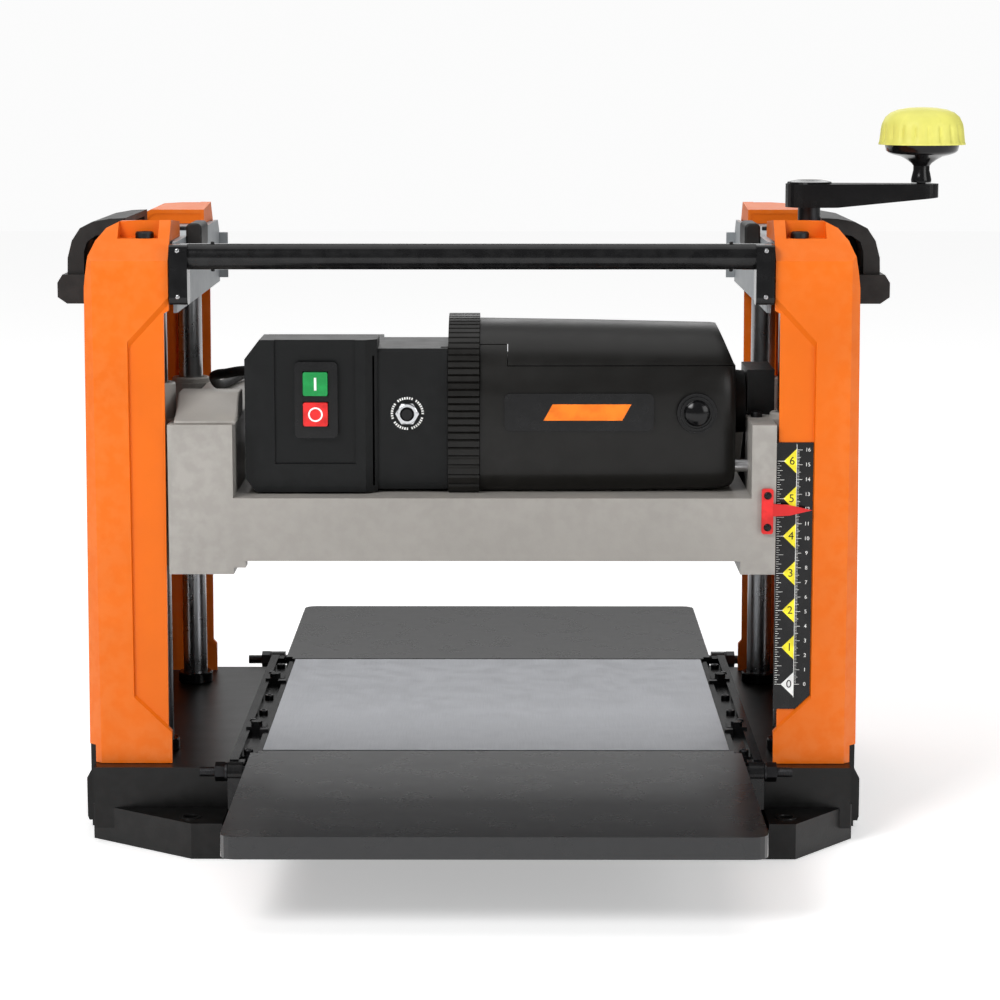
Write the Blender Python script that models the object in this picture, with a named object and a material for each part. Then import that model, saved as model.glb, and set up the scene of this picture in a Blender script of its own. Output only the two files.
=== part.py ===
"""Bench thickness planer: two columns on a cast base carry a head that rides on four posts.

Lengths in this file are millimetres and are turned into metres as each mesh is made.
+X points to the crank side, +Y away from the operator and +Z up. The origin is the centre
of the base's underside, on the bench.
"""

import math

import bmesh
import bpy
from mathutils import Vector

MM = 0.001
GAP = 0.3  # between pieces that rest on each other
FLAT_GAP = 0.02  # radial, between a shaft and the flats of its bore
SMOOTH_ANGLE = math.radians(38)

# Base casting
FOOT_HALF_X = 258
FOOT_HALF_Y = 204
FOOT_TOP_Z = 24
FOOT_CHAMFER_Y = 52
FOOT_CORNERS_X = (-186, 215)
BASE_TOP_Z = 52
BLOCK_HALF_X = 256
BLOCK_HALF_Y = 163
FOOT_HOLES_X = (-188, 210)
FOOT_HOLE_Y = 187
FOOT_HOLE_RADIUS = 4.5
SIDE_STRIP_X = 260.5
SIDE_STRIP_TOP_Z = 63.7
POCKET_LOW_Z = 20

# Tables: their centre line is offset towards the crank
TABLE_CENTRE_X = 16
BED_HALF_X = 158.5
BED_HALF_Y = 149.5
TABLE_TOP_Z = 61
TABLE_HALF_X = 166.2
TABLE_INNER_Y = 152
TABLE_OUTER_Y = 371
TABLE_APRON = 14
TABLE_WALL = 3
FOLD_Y = 182
FOLD_Z = 54
FOLD_BOLT_RADIUS = 3.5
FOLD_NUT_RADIUS = 6.6
RAIL_INNER = 159.2
RAIL_OUTER = 179
RAIL_CLAMPS_Y = (-75, 85)

# Columns
POST_X = 216.5
POST_Y = 110
POST_RADIUS = 9
POST_TOP_Z = 401.7
COVER_INNER_X = 201.3
COVER_OUTER_X = 261
COVER_TAPER = 3
COVER_FRONT_Y = 152
COVER_BACK_Y = 78
COVER_LEAN_Z = 393
COVER_TOP_Z = 418.8
COVER_BACK_TOP_Z = 415.4
COVER_WALL = 3
RECESS_DEPTH = 2.6
SCREW_POCKET_X = (209, 236)
SCREW_POCKET_Z = 407
SCREW_POCKET_BACK_Y = 125.5
FRAME_TOP_Z = 404.8
FRAME_PLATE = 2.8
CROSSBAR = (-145, 395.6)
CROSSBAR_RADIUS = 8.65
CROSSBAR_HALF_X = 193.5
HANDLE_HALF_Y = 60
HANDLE_ARM = 16
GRIP_HALF_Y = 64
SCALE_ZERO_Z = 107

# Lift screws and crank
SCREW_X = 232
SCREW_Y = -60
SCREW_RADIUS = 6
SHAFT_RADIUS = 7.7
SPROCKET_RADIUS = 10
CRANK_RADIUS = 77
CRANK_LOW_Z = 424.3
CRANK_TOP_Z = 440.3
KNOB_PIN_RADIUS = 3.2
KNOB_RADIUS = 29.8

# Head, with the cutter 119 mm above the bed
HEAD_FRONT_Y = -154
HEAD_BACK_Y = 132
BEAM_LEFT_X = -160
BEAM_RIGHT_X = 187
BEAM_LOW_Z = 192
BEAM_TOP_Z = 234.6
BLOCK_LOW_Z = 183
BLOCK_TOP_Z = 284
BLOCK_OUTER_X = 203.3

CUTTER_Y = 0
CUTTER_Z = 205
CUTTER_RADIUS = 22.5
KNIFE_TIP_RADIUS = 25
ROLLER_Y = 48
ROLLER_Z = 194.8
ROLLER_RADIUS = 16
ROLLER_LEFT_X = -150
ROLLER_RIGHT_X = 178
GEAR_MODULE = 1.25
PINION_TEETH = 12
GEAR_TEETH = 48
GEAR_Z = CUTTER_Z + GEAR_MODULE * (PINION_TEETH + GEAR_TEETH) / 2
GEAR_X = (-184, -172)
CHAIN_X = (-195.5, -190.5)
CHAIN_WHEEL_X = (-196, -190)
CHAIN_WHEEL_RADIUS = 5.5
PULLEY_X = (189, 198)
BELT_HOOD_TOP_Z = 315
BELT_X = (190.5, 197)
CUTTER_PULLEY_RADIUS = 16
MOTOR_PULLEY_RADIUS = 12
MOTOR_Y = -76
MOTOR_Z = 291
MOTOR_HALF_DEPTH = 56
MOTOR_TOP = 56.5
MOTOR_ROUND_FROM = 9
MOTOR_SEAM_Z = 320.5
MOTOR_SEAM_STEP_Z = 334
MOTOR_SEAM_STEP_X = 23.5
BREAKER = (-44, 288.5)
SWITCH_FRONT_Y = -135
SWITCH_TOP_Z = 332
SWITCH_HOOD_Z = 339
BUTTON_X = (-113.5, -97)
ON_BUTTON_Z = (301.8, 317.7)
OFF_BUTTON_Z = (281.3, 297.2)
BUTTON_FRONT_Y = -139.5
CABLE_RADIUS = 3.5
PAWL_Y = -105
PAWL_Z = 214

# Colours: red, green, blue, metallic, roughness
ORANGE = (0.95, 0.21, 0.012, 0.0, 0.38)
BLACK_CAST = (0.018, 0.018, 0.019, 0.0, 0.45)
BLACK_PLASTIC = (0.022, 0.023, 0.025, 0.0, 0.42)
BLACK_METAL = (0.015, 0.015, 0.016, 0.6, 0.3)
HEAD_GREY = (0.42, 0.40, 0.36, 0.0, 0.5)
PLATE_GREY = (0.3, 0.32, 0.35, 0.2, 0.5)
STEEL = (0.55, 0.56, 0.58, 1.0, 0.28)
CHROME = (0.75, 0.76, 0.78, 1.0, 0.08)
DARK_STEEL = (0.09, 0.09, 0.095, 1.0, 0.32)
RED = (0.62, 0.02, 0.015, 0.0, 0.35)
GREEN = (0.01, 0.32, 0.07, 0.0, 0.35)
LIME = (0.75, 0.78, 0.25, 0.0, 0.4)
RUBBER = (0.012, 0.012, 0.012, 0.0, 0.7)


# ---------------------------------------------------------------- solids

def point_on(axis, along, u, v):
    """A point from its place along an axis and its two coordinates across it, in X, Y, Z order."""
    if axis == "x":
        return (along, u, v)
    if axis == "y":
        return (u, along, v)
    return (u, v, along)


def mesh_from(bm):
    bmesh.ops.scale(bm, vec=(MM, MM, MM), verts=bm.verts)
    bmesh.ops.recalc_face_normals(bm, faces=bm.faces)
    mesh = bpy.data.meshes.new("solid")
    bm.to_mesh(mesh)
    bm.free()
    return mesh


def skin(rings):
    """A closed solid through rings of the same number of points, with flat ends."""
    bm = bmesh.new()
    rows = [[bm.verts.new(point) for point in ring] for ring in rings]
    count = len(rows[0])
    for low, high in zip(rows, rows[1:]):
        for i in range(count):
            j = (i + 1) % count
            bm.faces.new((low[i], low[j], high[j], high[i]))
    bm.faces.new(rows[0][::-1])
    bm.faces.new(rows[-1])
    return mesh_from(bm)


def prism(axis, outline, low, high):
    return skin([[point_on(axis, along, u, v) for u, v in outline] for along in (low, high)])


def box(x, y, z):
    x, y, z = sorted(x), sorted(y), sorted(z)
    return prism("z", [(x[0], y[0]), (x[1], y[0]), (x[1], y[1]), (x[0], y[1])], z[0], z[1])


def circle(centre, radius, sides=24, start=0.0):
    turns = [start + 2 * math.pi * i / sides for i in range(sides)]
    return [(centre[0] + radius * math.cos(t), centre[1] + radius * math.sin(t)) for t in turns]


def rod(axis, centre, radius, low, high, sides=20):
    return prism(axis, circle(centre, radius, sides), min(low, high), max(low, high))


def bore(axis, centre, radius, low, high, sides=28):
    """A cutter for a running fit. Its flats clear a shaft of this radius at every angle."""
    return rod(axis, centre, (radius + FLAT_GAP) / math.cos(math.pi / sides), low, high, sides)


def turned(axis, centre, stations, sides=20):
    """A turned solid from (place along the axis, radius) stations."""
    rings = []
    for along, radius in stations:
        rings.append([point_on(axis, along, u, v) for u, v in circle(centre, radius, sides)])
    return skin(rings)


def rounded_rectangle(u, v, radius, steps=4):
    corners = [
        (u[1] - radius, v[1] - radius, 0),
        (u[0] + radius, v[1] - radius, 1),
        (u[0] + radius, v[0] + radius, 2),
        (u[1] - radius, v[0] + radius, 3),
    ]
    outline = []
    for cu, cv, quarter in corners:
        for i in range(steps + 1):
            turn = math.pi / 2 * (quarter + i / steps)
            outline.append((cu + radius * math.cos(turn), cv + radius * math.sin(turn)))
    return outline


def hull(points):
    """The convex outline of 2-D points, anticlockwise."""
    points = sorted(set(points))

    def half(ordered):
        chain = []
        for p in ordered:
            while len(chain) > 1:
                (ax, ay), (bx, by) = chain[-2], chain[-1]
                if (bx - ax) * (p[1] - ay) - (by - ay) * (p[0] - ax) > 0:
                    break
                chain.pop()
            chain.append(p)
        return chain[:-1]

    return half(points) + half(points[::-1])


def loop_round(wheels, extra, sides=32):
    """The outline of a belt or chain held out by this much from wheels given as (centre, radius)."""
    points = []
    for centre, radius in wheels:
        points += circle(centre, radius + extra, sides)
    return hull(points)


def gear_outline(centre, teeth, first_tooth, addendum=1.1, dedendum=1.5):
    """Straight-sided teeth. first_tooth is the angle of one tooth's middle."""
    pitch_radius = GEAR_MODULE * teeth / 2
    pitch = 2 * math.pi / teeth
    outline = []
    for i in range(teeth):
        middle = first_tooth + i * pitch
        for offset, radius in (
            (-0.26, pitch_radius - dedendum),
            (-0.10, pitch_radius + addendum),
            (0.10, pitch_radius + addendum),
            (0.26, pitch_radius - dedendum),
        ):
            turn = middle + offset * pitch
            outline.append((centre[0] + radius * math.cos(turn), centre[1] + radius * math.sin(turn)))
    return outline


# ---------------------------------------------------------------- Boolean work

def combine(target, others, operation):
    """The mesh of target after one exact Boolean with each of the others."""
    held = bpy.data.objects.new("held", target)
    bpy.context.scene.collection.objects.link(held)
    tools = []
    for other in others:
        tool = bpy.data.objects.new("tool", other)
        bpy.context.scene.collection.objects.link(tool)
        tools.append(tool)
        modifier = held.modifiers.new("combine", "BOOLEAN")
        modifier.operation = operation
        modifier.solver = "EXACT"
        modifier.object = tool
    graph = bpy.context.evaluated_depsgraph_get()
    result = bpy.data.meshes.new_from_object(held.evaluated_get(graph))
    for extra in [held, *tools]:
        bpy.data.objects.remove(extra)
    return result


def joined(first, *others):
    return combine(first, others, "UNION")


def cut(first, *others):
    return combine(first, others, "DIFFERENCE")


def common(first, *others):
    return combine(first, others, "INTERSECT")


def mirrored(mesh, across):
    """A copy mirrored across the plane x = 0 or y = 0."""
    bm = bmesh.new()
    bm.from_mesh(mesh)
    scale = (-1, 1, 1) if across == "x" else (1, -1, 1)
    bmesh.ops.scale(bm, vec=scale, verts=bm.verts)
    bmesh.ops.recalc_face_normals(bm, faces=bm.faces)
    copy = bpy.data.meshes.new("mirrored")
    bm.to_mesh(copy)
    bm.free()
    return copy


def place(name, mesh, colour, origin=(0, 0, 0)):
    """A named object with its own material and its origin at this point."""
    red, green, blue, metallic, roughness = colour
    material = bpy.data.materials.new(name)
    material.use_nodes = True
    shader = material.node_tree.nodes["Principled BSDF"]
    shader.inputs["Base Color"].default_value = (red, green, blue, 1)
    shader.inputs["Metallic"].default_value = metallic
    shader.inputs["Roughness"].default_value = roughness
    offset = Vector(origin) * MM
    for vertex in mesh.vertices:
        vertex.co -= offset
    mesh.name = name
    mesh.materials.clear()
    mesh.materials.append(material)
    for polygon in mesh.polygons:
        polygon.use_smooth = True
        polygon.material_index = 0
    mesh.set_sharp_from_angle(angle=SMOOTH_ANGLE)
    made = bpy.data.objects.new(name, mesh)
    made.location = offset
    bpy.context.scene.collection.objects.link(made)
    return made


# ---------------------------------------------------------------- base and tables

def base():
    x, y = FOOT_HALF_X, FOOT_HALF_Y
    straight = y - FOOT_CHAMFER_Y
    foot_left, foot_right = FOOT_CORNERS_X
    octagon = [(x, -straight), (x, straight), (foot_right, y), (foot_left, y)]
    octagon += [(-x, straight), (-x, -straight), (foot_left, -y), (foot_right, -y)]
    foot = prism("z", octagon, 0, FOOT_TOP_Z)
    block = box((-BLOCK_HALF_X, BLOCK_HALF_X), (-BLOCK_HALF_Y, BLOCK_HALF_Y), (10, BASE_TOP_Z))
    added = [block]
    for side in (-1, 1):
        added.append(box((side * 250, side * SIDE_STRIP_X), (-142, 142), (6, SIDE_STRIP_TOP_Z)))
        lug = [(side * 255, 4), (side * 266, 4), (side * 267, 7), (side * 267, 34), (side * 262, 43)]
        lug.append((side * 255, 43))
        added.append(prism("y", lug, -120, 120))
    body = joined(foot, *added)
    hollow = [box((-248, 248), (-144, 144), (-1, BASE_TOP_Z - 7))]
    # Pockets for the folding tables' inner ends, whose top corners swing towards the bed first.
    left = TABLE_CENTRE_X - TABLE_HALF_X - 15
    right = TABLE_CENTRE_X + TABLE_HALF_X + 15
    swing = math.hypot(FOLD_Y - TABLE_INNER_Y, TABLE_TOP_Z - FOLD_Z)
    pocket_inner = FOLD_Y - swing - GAP
    for side in (-1, 1):
        hollow.append(box((left, right), (side * pocket_inner, side * 210), (POCKET_LOW_Z, 60)))
        hollow.append(rod("z", (side * SCREW_X, SCREW_Y), SCREW_RADIUS + 0.5, 40, 60))
        for hole_x in FOOT_HOLES_X:
            hollow.append(rod("z", (hole_x, side * FOOT_HOLE_Y), FOOT_HOLE_RADIUS, -1, 30))
    rib = box((-249, 249), (-6, 6), (0, BASE_TOP_Z - 5))
    return joined(cut(body, *hollow), rib)


def bed_plate():
    x = (TABLE_CENTRE_X - BED_HALF_X, TABLE_CENTRE_X + BED_HALF_X)
    return box(x, (-BED_HALF_Y, BED_HALF_Y), (BASE_TOP_Z + GAP, TABLE_TOP_Z))


def side_rail(side):
    """One rail beside the bed, with a clamp at two places and an eye for each folding table."""
    low = BASE_TOP_Z + GAP
    inner = TABLE_CENTRE_X + side * RAIL_INNER
    outer = TABLE_CENTRE_X + side * RAIL_OUTER
    eye_inner = outer - side * 10
    strip = box((inner, outer), (-149, 149), (low, low + 4))
    added = [
        box((outer, outer - side * 6), (-172, 172), (low, low + 7.5)),
        box((inner, inner + side * 4), (-149, 149), (low, low + 7)),
    ]
    for y in RAIL_CLAMPS_Y:
        added.append(box((inner + side * 3, outer - side * 3), (y - 8, y + 8), (low, low + 9)))
        added.append(rod("z", (inner + side * 10, y), 4, low + 5, low + 11.5, 6))
    for end in (-1, 1):
        added.append(box((outer, eye_inner), (end * 165, end * FOLD_Y), (low, low + 6)))
        added.append(rod("x", (end * FOLD_Y, FOLD_Z), 6.5, outer, eye_inner))
        added.append(box((outer, eye_inner), (end * 176.5, end * 187.5), (29.5, FOLD_Z)))
    body = joined(strip, *added)
    holes = []
    for end in (-1, 1):
        centre = (end * FOLD_Y, FOLD_Z)
        holes.append(rod("x", centre, FOLD_BOLT_RADIUS + GAP, outer + side, eye_inner - side))
    return cut(body, *holes)


def hinge_bolt(side, end):
    centre = (end * FOLD_Y, FOLD_Z)
    table_edge = TABLE_CENTRE_X + side * TABLE_HALF_X
    rail_outer = TABLE_CENTRE_X + side * RAIL_OUTER
    stud = rod("x", centre, FOLD_BOLT_RADIUS, table_edge - side * 8, rail_outer + side * 19)
    nut_x = sorted((rail_outer + side * 1.5, rail_outer + side * 8.5))
    nut = prism("x", circle(centre, FOLD_NUT_RADIUS, 6), *nut_x)
    washer = rod("x", centre, 6.4, rail_outer + side * GAP, rail_outer + side * 2)
    return joined(stud, nut, washer)


def folding_table(end):
    """An extension table: a pressed tray with a skirt, hinged through its side walls."""
    left = TABLE_CENTRE_X - TABLE_HALF_X
    right = TABLE_CENTRE_X + TABLE_HALF_X
    low, top = TABLE_TOP_Z - TABLE_APRON, TABLE_TOP_Z
    y = sorted((end * TABLE_INNER_Y, end * TABLE_OUTER_Y))
    body = prism("z", rounded_rectangle((left, right), y, 9), low, top)
    square_end = box((left, right), (end * TABLE_INNER_Y, end * (TABLE_INNER_Y + 30)), (low, top))
    body = joined(body, square_end)
    wall = TABLE_WALL
    hollow = rounded_rectangle((left + wall, right - wall), (y[0] + wall, y[1] - wall), 6)
    inside = prism("z", hollow, low - 1, top - wall)
    cutters = [inside]
    for side_x in (left, right):
        notch_y = (end * (TABLE_INNER_Y - 1), end * (TABLE_INNER_Y + 6))
        cutters.append(box((side_x - 5, side_x + 5), notch_y, (low - 1, top + 1)))
    body = cut(body, *cutters)
    ribs = []
    for x in (-55, 0, 55):
        rib_y = (end * (TABLE_INNER_Y + 2), end * (TABLE_OUTER_Y - 2))
        ribs.append(box((TABLE_CENTRE_X + x - 1.5, TABLE_CENTRE_X + x + 1.5), rib_y, (low + 4, top - 1)))
    body = joined(body, *ribs)
    bores = []
    for side_x in (left, right):
        bores.append(bore("x", (end * FOLD_Y, FOLD_Z), FOLD_BOLT_RADIUS, side_x - 6, side_x + 6))
    return cut(body, *bores)


# ---------------------------------------------------------------- columns

def guide_post(x, y):
    foot = BASE_TOP_Z + GAP
    stations = [(foot, 13), (foot + 8, 13), (foot + 8, POST_RADIUS), (POST_TOP_Z, POST_RADIUS)]
    return turned("z", (x, y), stations)


def cover_solid(shrink, open_by):
    """The right front cover's outer shape, or its inside when shrunk and opened at the free sides."""
    inner = COVER_INNER_X - open_by
    outer = COVER_OUTER_X - shrink
    upper = outer - COVER_TAPER
    front = -COVER_FRONT_Y + shrink
    back = -COVER_BACK_Y + open_by
    edge = 9 - shrink * 0.4
    plan = [(inner, front), (outer - edge, front), (outer, front + edge), (outer, back), (inner, back)]
    top = COVER_TOP_Z - shrink
    foot = BASE_TOP_Z + GAP - open_by
    elevation = [
        (inner, foot),
        (outer, foot),
        (upper, top - 44),
        (upper - 1.3, top - 34),
        (upper - 3.3, top - 23),
        (upper - 7.5, top - 13),
        (upper - 14, top - 5),
        (upper - 22, top - 1),
        (inner, top + 1),
    ]
    solid = common(prism("z", plan, foot, top + 5), prism("y", elevation, front, back))
    # The front leans back above COVER_LEAN_Z, and the top falls a little towards the back.
    steepness = 1.084
    lean_low = COVER_LEAN_Z - shrink * 0.38
    lean_run = (top - lean_low) / steepness
    slope = [
        (front - 9, lean_low - 9 * steepness),
        (front + lean_run, top),
        (-COVER_BACK_Y, COVER_BACK_TOP_Z - shrink),
        (back + 1, COVER_BACK_TOP_Z - shrink),
        (back + 1, top + 20),
        (front - 9, top + 20),
    ]
    return cut(solid, prism("x", slope, inner - 5, outer + 5))


def screw_pocket(grow):
    """The notch in the leaning top where the cover's screw stands, or its walls' outside when grown."""
    x = (SCREW_POCKET_X[0] - grow, SCREW_POCKET_X[1] + grow)
    return box(x, (-COVER_FRONT_Y - 1, -SCREW_POCKET_BACK_Y + grow), (SCREW_POCKET_Z - grow, COVER_TOP_Z + 5))


def side_recess(inset, depth):
    """The outline sunk into the cover's front: upright, with a slanted end above and below."""
    inner = COVER_INNER_X - 4
    outer = 229 - inset * 0.3
    low = 67.2 + inset * 1.1
    high = 372.8 - inset * 2.2
    run = outer - inner
    outline = [(inner, high), (outer, high - run * 1.07), (outer, low + run * 0.968), (inner, low)]
    return [(x, -COVER_FRONT_Y + depth, z) for x, z in outline]


def front_cover_right():
    inner = COVER_INNER_X
    front = -COVER_FRONT_Y
    inside = cover_solid(COVER_WALL, 12)
    recess_back = skin([side_recess(-COVER_WALL, -2), side_recess(-COVER_WALL, RECESS_DEPTH + COVER_WALL)])
    inside = cut(inside, screw_pocket(COVER_WALL), recess_back)
    recess = skin([side_recess(-1.5, -1.5), side_recess(2, RECESS_DEPTH)])
    side_foot = box((BLOCK_HALF_X + GAP, 270), (front - 1, 0), (40, SIDE_STRIP_TOP_Z + GAP))
    # Between its slanted ends the recess's sheet stops short of the cover's inner edge.
    trim = [(inner - 2, 46), (204, 46), (203.8, 74), (206.3, 77), (204.8, 358), (inner - 2, 361)]
    trim = prism("y", trim, front - 1, front + 9)
    outside = cover_solid(0, 0)
    shell = cut(outside, inside, screw_pocket(0), recess, side_foot, trim)
    top = (FRAME_TOP_Z + GAP, COVER_TOP_Z + 5)
    closing = joined(
        box((inner, inner + 2.5), (front, -COVER_BACK_Y), top),
        box((inner, COVER_OUTER_X), (-COVER_BACK_Y - COVER_WALL, -COVER_BACK_Y - 0.6), top),
    )
    closing = common(closing, cut(outside, screw_pocket(0)))
    return joined(shell, closing)


def top_frame_right():
    web = [(-138, 357.5), (146, 357.5), (146, FRAME_TOP_Z - 9), (136, FRAME_TOP_Z), (-138, FRAME_TOP_Z)]
    plate_z = (FRAME_TOP_Z - FRAME_PLATE, FRAME_TOP_Z)
    body = joined(
        prism("x", web, 197, 199.5),
        box((197, 242), (-121.5, 121.5), plate_z),
        box((241, 246), (-74, 74), plate_z),
        box((243.5, 246), (-74, 74), (385, FRAME_TOP_Z)),
        box((190.5, 199.5), (143.5, 146), (360.5, FRAME_TOP_Z - 10)),
    )
    return cut(body, rod("z", (SCREW_X, SCREW_Y), SHAFT_RADIUS + 0.5, 395, 410))


def crossbar_bracket_right():
    body = prism("x", rounded_rectangle((-156, -138.4), (364, 404), 5), 188, 200.2)
    return cut(body, rod("x", CROSSBAR, CROSSBAR_RADIUS + GAP, 180, CROSSBAR_HALF_X + 0.5))


def crossbar():
    """A tube with a cross pin near each end."""
    tube = rod("x", CROSSBAR, CROSSBAR_RADIUS, -CROSSBAR_HALF_X, CROSSBAR_HALF_X, 32)
    reach = CROSSBAR_RADIUS + 1.3
    pins = []
    for x in (-172, 172):
        pins.append(rod("z", (x, CROSSBAR[0]), 1.3, CROSSBAR[1] - reach, CROSSBAR[1] + reach, 12))
    return joined(cut(tube, rod("x", CROSSBAR, CROSSBAR_RADIUS - 2, -200, 200, 20)), *pins)


def carry_handle_right():
    """Two curved arms and the hood over them, closed below by the grip."""
    low = FRAME_TOP_Z + GAP
    outer = [(241, 416.5), (252, 416), (264, 413.9), (272.7, 409.5), (278.5, 400.8)]
    outer += [(281.6, 389), (282.2, 366)]
    inner = [(270.5, 366), (270.2, 393), (268, 400), (262, 404.3), (252, 406), (247, low), (241, low)]
    hood_inner = [(278, 366), (277.6, 389), (274.8, 398.8), (270, 405.8), (262.8, 409.8)]
    hood_inner += [(252, 411.8), (241, 412.3)]
    grip = [(259, 360), (262, 357.5), (282, 357.5), (288.5, 362), (288.5, 372), (285, 377.6), (259, 377.6)]
    rib = [(259.5, 370), (272, 370), (272, 400), (262, 408), (259.5, 408)]
    end, arm = HANDLE_HALF_Y, HANDLE_ARM
    parts = [prism("y", outer + inner, side * end, side * (end - arm)) for side in (-1, 1)]
    parts.append(prism("y", grip, -GRIP_HALF_Y, GRIP_HALF_Y))
    parts.append(prism("y", rib, -2, 2))
    return joined(prism("y", outer + hood_inner, -end, end), *parts)


def side_panel_right():
    body = box((250, 253), (-76, 76), (SIDE_STRIP_TOP_Z + GAP, 396))
    slots = [box((245, 260), (-40, 40), (z, z + 5)) for z in range(110, 200, 15)]
    return cut(body, *slots)


def depth_scale():
    low, high = SCALE_ZERO_Z - 17, SCALE_ZERO_Z + 165
    plate = [(203.6, low), (218.4, low), (228.2, low + 9.5), (228.2, high), (203.6, high)]
    floor = -COVER_FRONT_Y + RECESS_DEPTH
    return prism("y", plate, floor - 0.9, floor - 0.1)


# ---------------------------------------------------------------- lift

def leadscrew(side):
    centre = (side * SCREW_X, SCREW_Y)
    top = 433.5 if side > 0 else 412
    neck = SHAFT_RADIUS if side > 0 else SCREW_RADIUS
    stations = [
        (12, SCREW_RADIUS),
        (18, SCREW_RADIUS),
        (18, SPROCKET_RADIUS),
        (24, SPROCKET_RADIUS),
        (24, SCREW_RADIUS),
        (BASE_TOP_Z + GAP, SCREW_RADIUS),
        (BASE_TOP_Z + GAP, 10),
        (BASE_TOP_Z + 5, 10),
        (BASE_TOP_Z + 5, SCREW_RADIUS),
        (400, SCREW_RADIUS),
        (400, neck),
        (top, neck),
    ]
    if side < 0:
        del stations[-2]
    return turned("z", centre, stations)


def lift_chain():
    wheels = [((-SCREW_X, SCREW_Y), SPROCKET_RADIUS), ((SCREW_X, SCREW_Y), SPROCKET_RADIUS)]
    outer = prism("z", loop_round(wheels, 3.5), 18.5, 23.5)
    return cut(outer, prism("z", loop_round(wheels, GAP), 17, 25))


def crank_arm():
    """A flat arm, deep at the hub and thinner towards the knob's pin."""
    hub = (SCREW_X, SCREW_Y)
    end = (SCREW_X + CRANK_RADIUS, SCREW_Y)
    plan = hull(circle(hub, 16.5, 32) + circle((end[0] + 2, end[1]), 10, 24))
    arm = prism("z", plan, CRANK_LOW_Z, CRANK_TOP_Z)
    below = CRANK_LOW_Z - 5
    wedge = [(SCREW_X + 18, below), (SCREW_X + 18, CRANK_LOW_Z), (330, 431.8), (330, below)]
    arm = cut(arm, prism("y", wedge, SCREW_Y - 30, SCREW_Y + 30))
    cap = turned("z", hub, [(CRANK_TOP_Z - 1, 16), (CRANK_TOP_Z + 1.3, 15), (CRANK_TOP_Z + 2.5, 9)], 32)
    pin = rod("z", end, KNOB_PIN_RADIUS, CRANK_TOP_Z - 2, 470)
    return cut(joined(arm, cap, pin), rod("z", hub, SHAFT_RADIUS + GAP, 420, 433.8))


def crank_knob():
    centre = (SCREW_X + CRANK_RADIUS, SCREW_Y)
    stations = [
        (CRANK_TOP_Z + 0.8, 7),
        (443.5, 7),
        (446.5, 5.8),
        (450.5, 5.6),
        (453.5, 7),
        (456.5, 12),
        (459.5, 22.5),
        (462.5, 25),
        (467, 25.5),
        (467, KNOB_RADIUS),
        (468.5, 29.2),
        (478, 28.2),
        (486, 25.5),
        (490.8, 18.5),
        (492.5, 9),
    ]
    return cut(turned("z", centre, stations, 32), bore("z", centre, KNOB_PIN_RADIUS, 440, 471))


# ---------------------------------------------------------------- head

def head_casting():
    """Two end blocks joined by beams and a deck; lugs on the blocks hold the posts and the lift nuts."""
    beam = (BEAM_LEFT_X, BEAM_RIGHT_X)
    solids = [
        box(beam, (HEAD_FRONT_Y, -140), (BEAM_LOW_Z, BEAM_TOP_Z)),
        box(beam, (118, HEAD_BACK_Y), (BEAM_LOW_Z, BEAM_TOP_Z)),
        box(beam, (-142, 120), (226, BEAM_TOP_Z)),
        box((-BLOCK_OUTER_X, BEAM_LEFT_X), (HEAD_FRONT_Y, HEAD_BACK_Y), (BLOCK_LOW_Z, BLOCK_TOP_Z)),
        box((BEAM_RIGHT_X - 7, BLOCK_OUTER_X), (HEAD_FRONT_Y, HEAD_BACK_Y), (BLOCK_LOW_Z, BEAM_TOP_Z)),
        box((BEAM_RIGHT_X, BLOCK_OUTER_X), (HEAD_FRONT_Y, HEAD_BACK_Y), (BEAM_TOP_Z - 2, BLOCK_TOP_Z)),
        box((-160.5, -152), (HEAD_FRONT_Y, -140), (187.5, 200)),
    ]
    for side in (-1, 1):
        for end in (-1, 1):
            solids.append(rod("z", (side * POST_X, end * POST_Y), 16, BLOCK_LOW_Z, BLOCK_TOP_Z))
            web_y = (end * (POST_Y - 9), end * (POST_Y + 14))
            solids.append(box((side * 198, side * POST_X), web_y, (BLOCK_LOW_Z, BLOCK_TOP_Z)))
        nut_arm = [(side * 214, -112), (side * 214, SCREW_Y - 10), (side * SCREW_X, SCREW_Y - 4)]
        nut_arm += [(side * (SCREW_X + 6), SCREW_Y - 6), (side * 232, -112)]
        solids.append(prism("z", nut_arm, 200, 226))
        solids.append(rod("z", (side * SCREW_X, SCREW_Y), 12, 196, 232))
    body = joined(solids[0], *solids[1:])
    low, wall = BLOCK_LOW_Z + 2.5, 4
    cutters = [
        # Gear chamber on the left and belt chamber on the right, both open outwards.
        box((-BLOCK_OUTER_X - 1, -166), (-64, 92), (low, BLOCK_TOP_Z - wall)),
        box((BEAM_RIGHT_X, BLOCK_OUTER_X + 1), (-96, 28), (low, BLOCK_TOP_Z + 1)),
        # Room for the knives, and the chip outlet through the deck.
        rod("x", (CUTTER_Y, CUTTER_Z), KNIFE_TIP_RADIUS + 1.5, ROLLER_LEFT_X - 2, ROLLER_RIGHT_X + 1, 32),
        box((-90, 90), (52, 108), (220, 240)),
        bore("x", (CUTTER_Y, CUTTER_Z), 12.5, -170, 190),
        bore("x", (CUTTER_Y, GEAR_Z), 5, -170, -158),
        bore("x", (PAWL_Y, PAWL_Z), 4, -164, 184),
    ]
    for y in (-ROLLER_Y, ROLLER_Y):
        cutters.append(bore("x", (y, ROLLER_Z), 8, -170, 185))
    for side in (-1, 1):
        cutters.append(bore("z", (side * SCREW_X, SCREW_Y), SCREW_RADIUS, 190, 240))
        for end in (-1, 1):
            centre = (side * POST_X, end * POST_Y)
            cutters.append(bore("z", centre, POST_RADIUS, 180, 290))
    return cut(body, *cutters)


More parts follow.
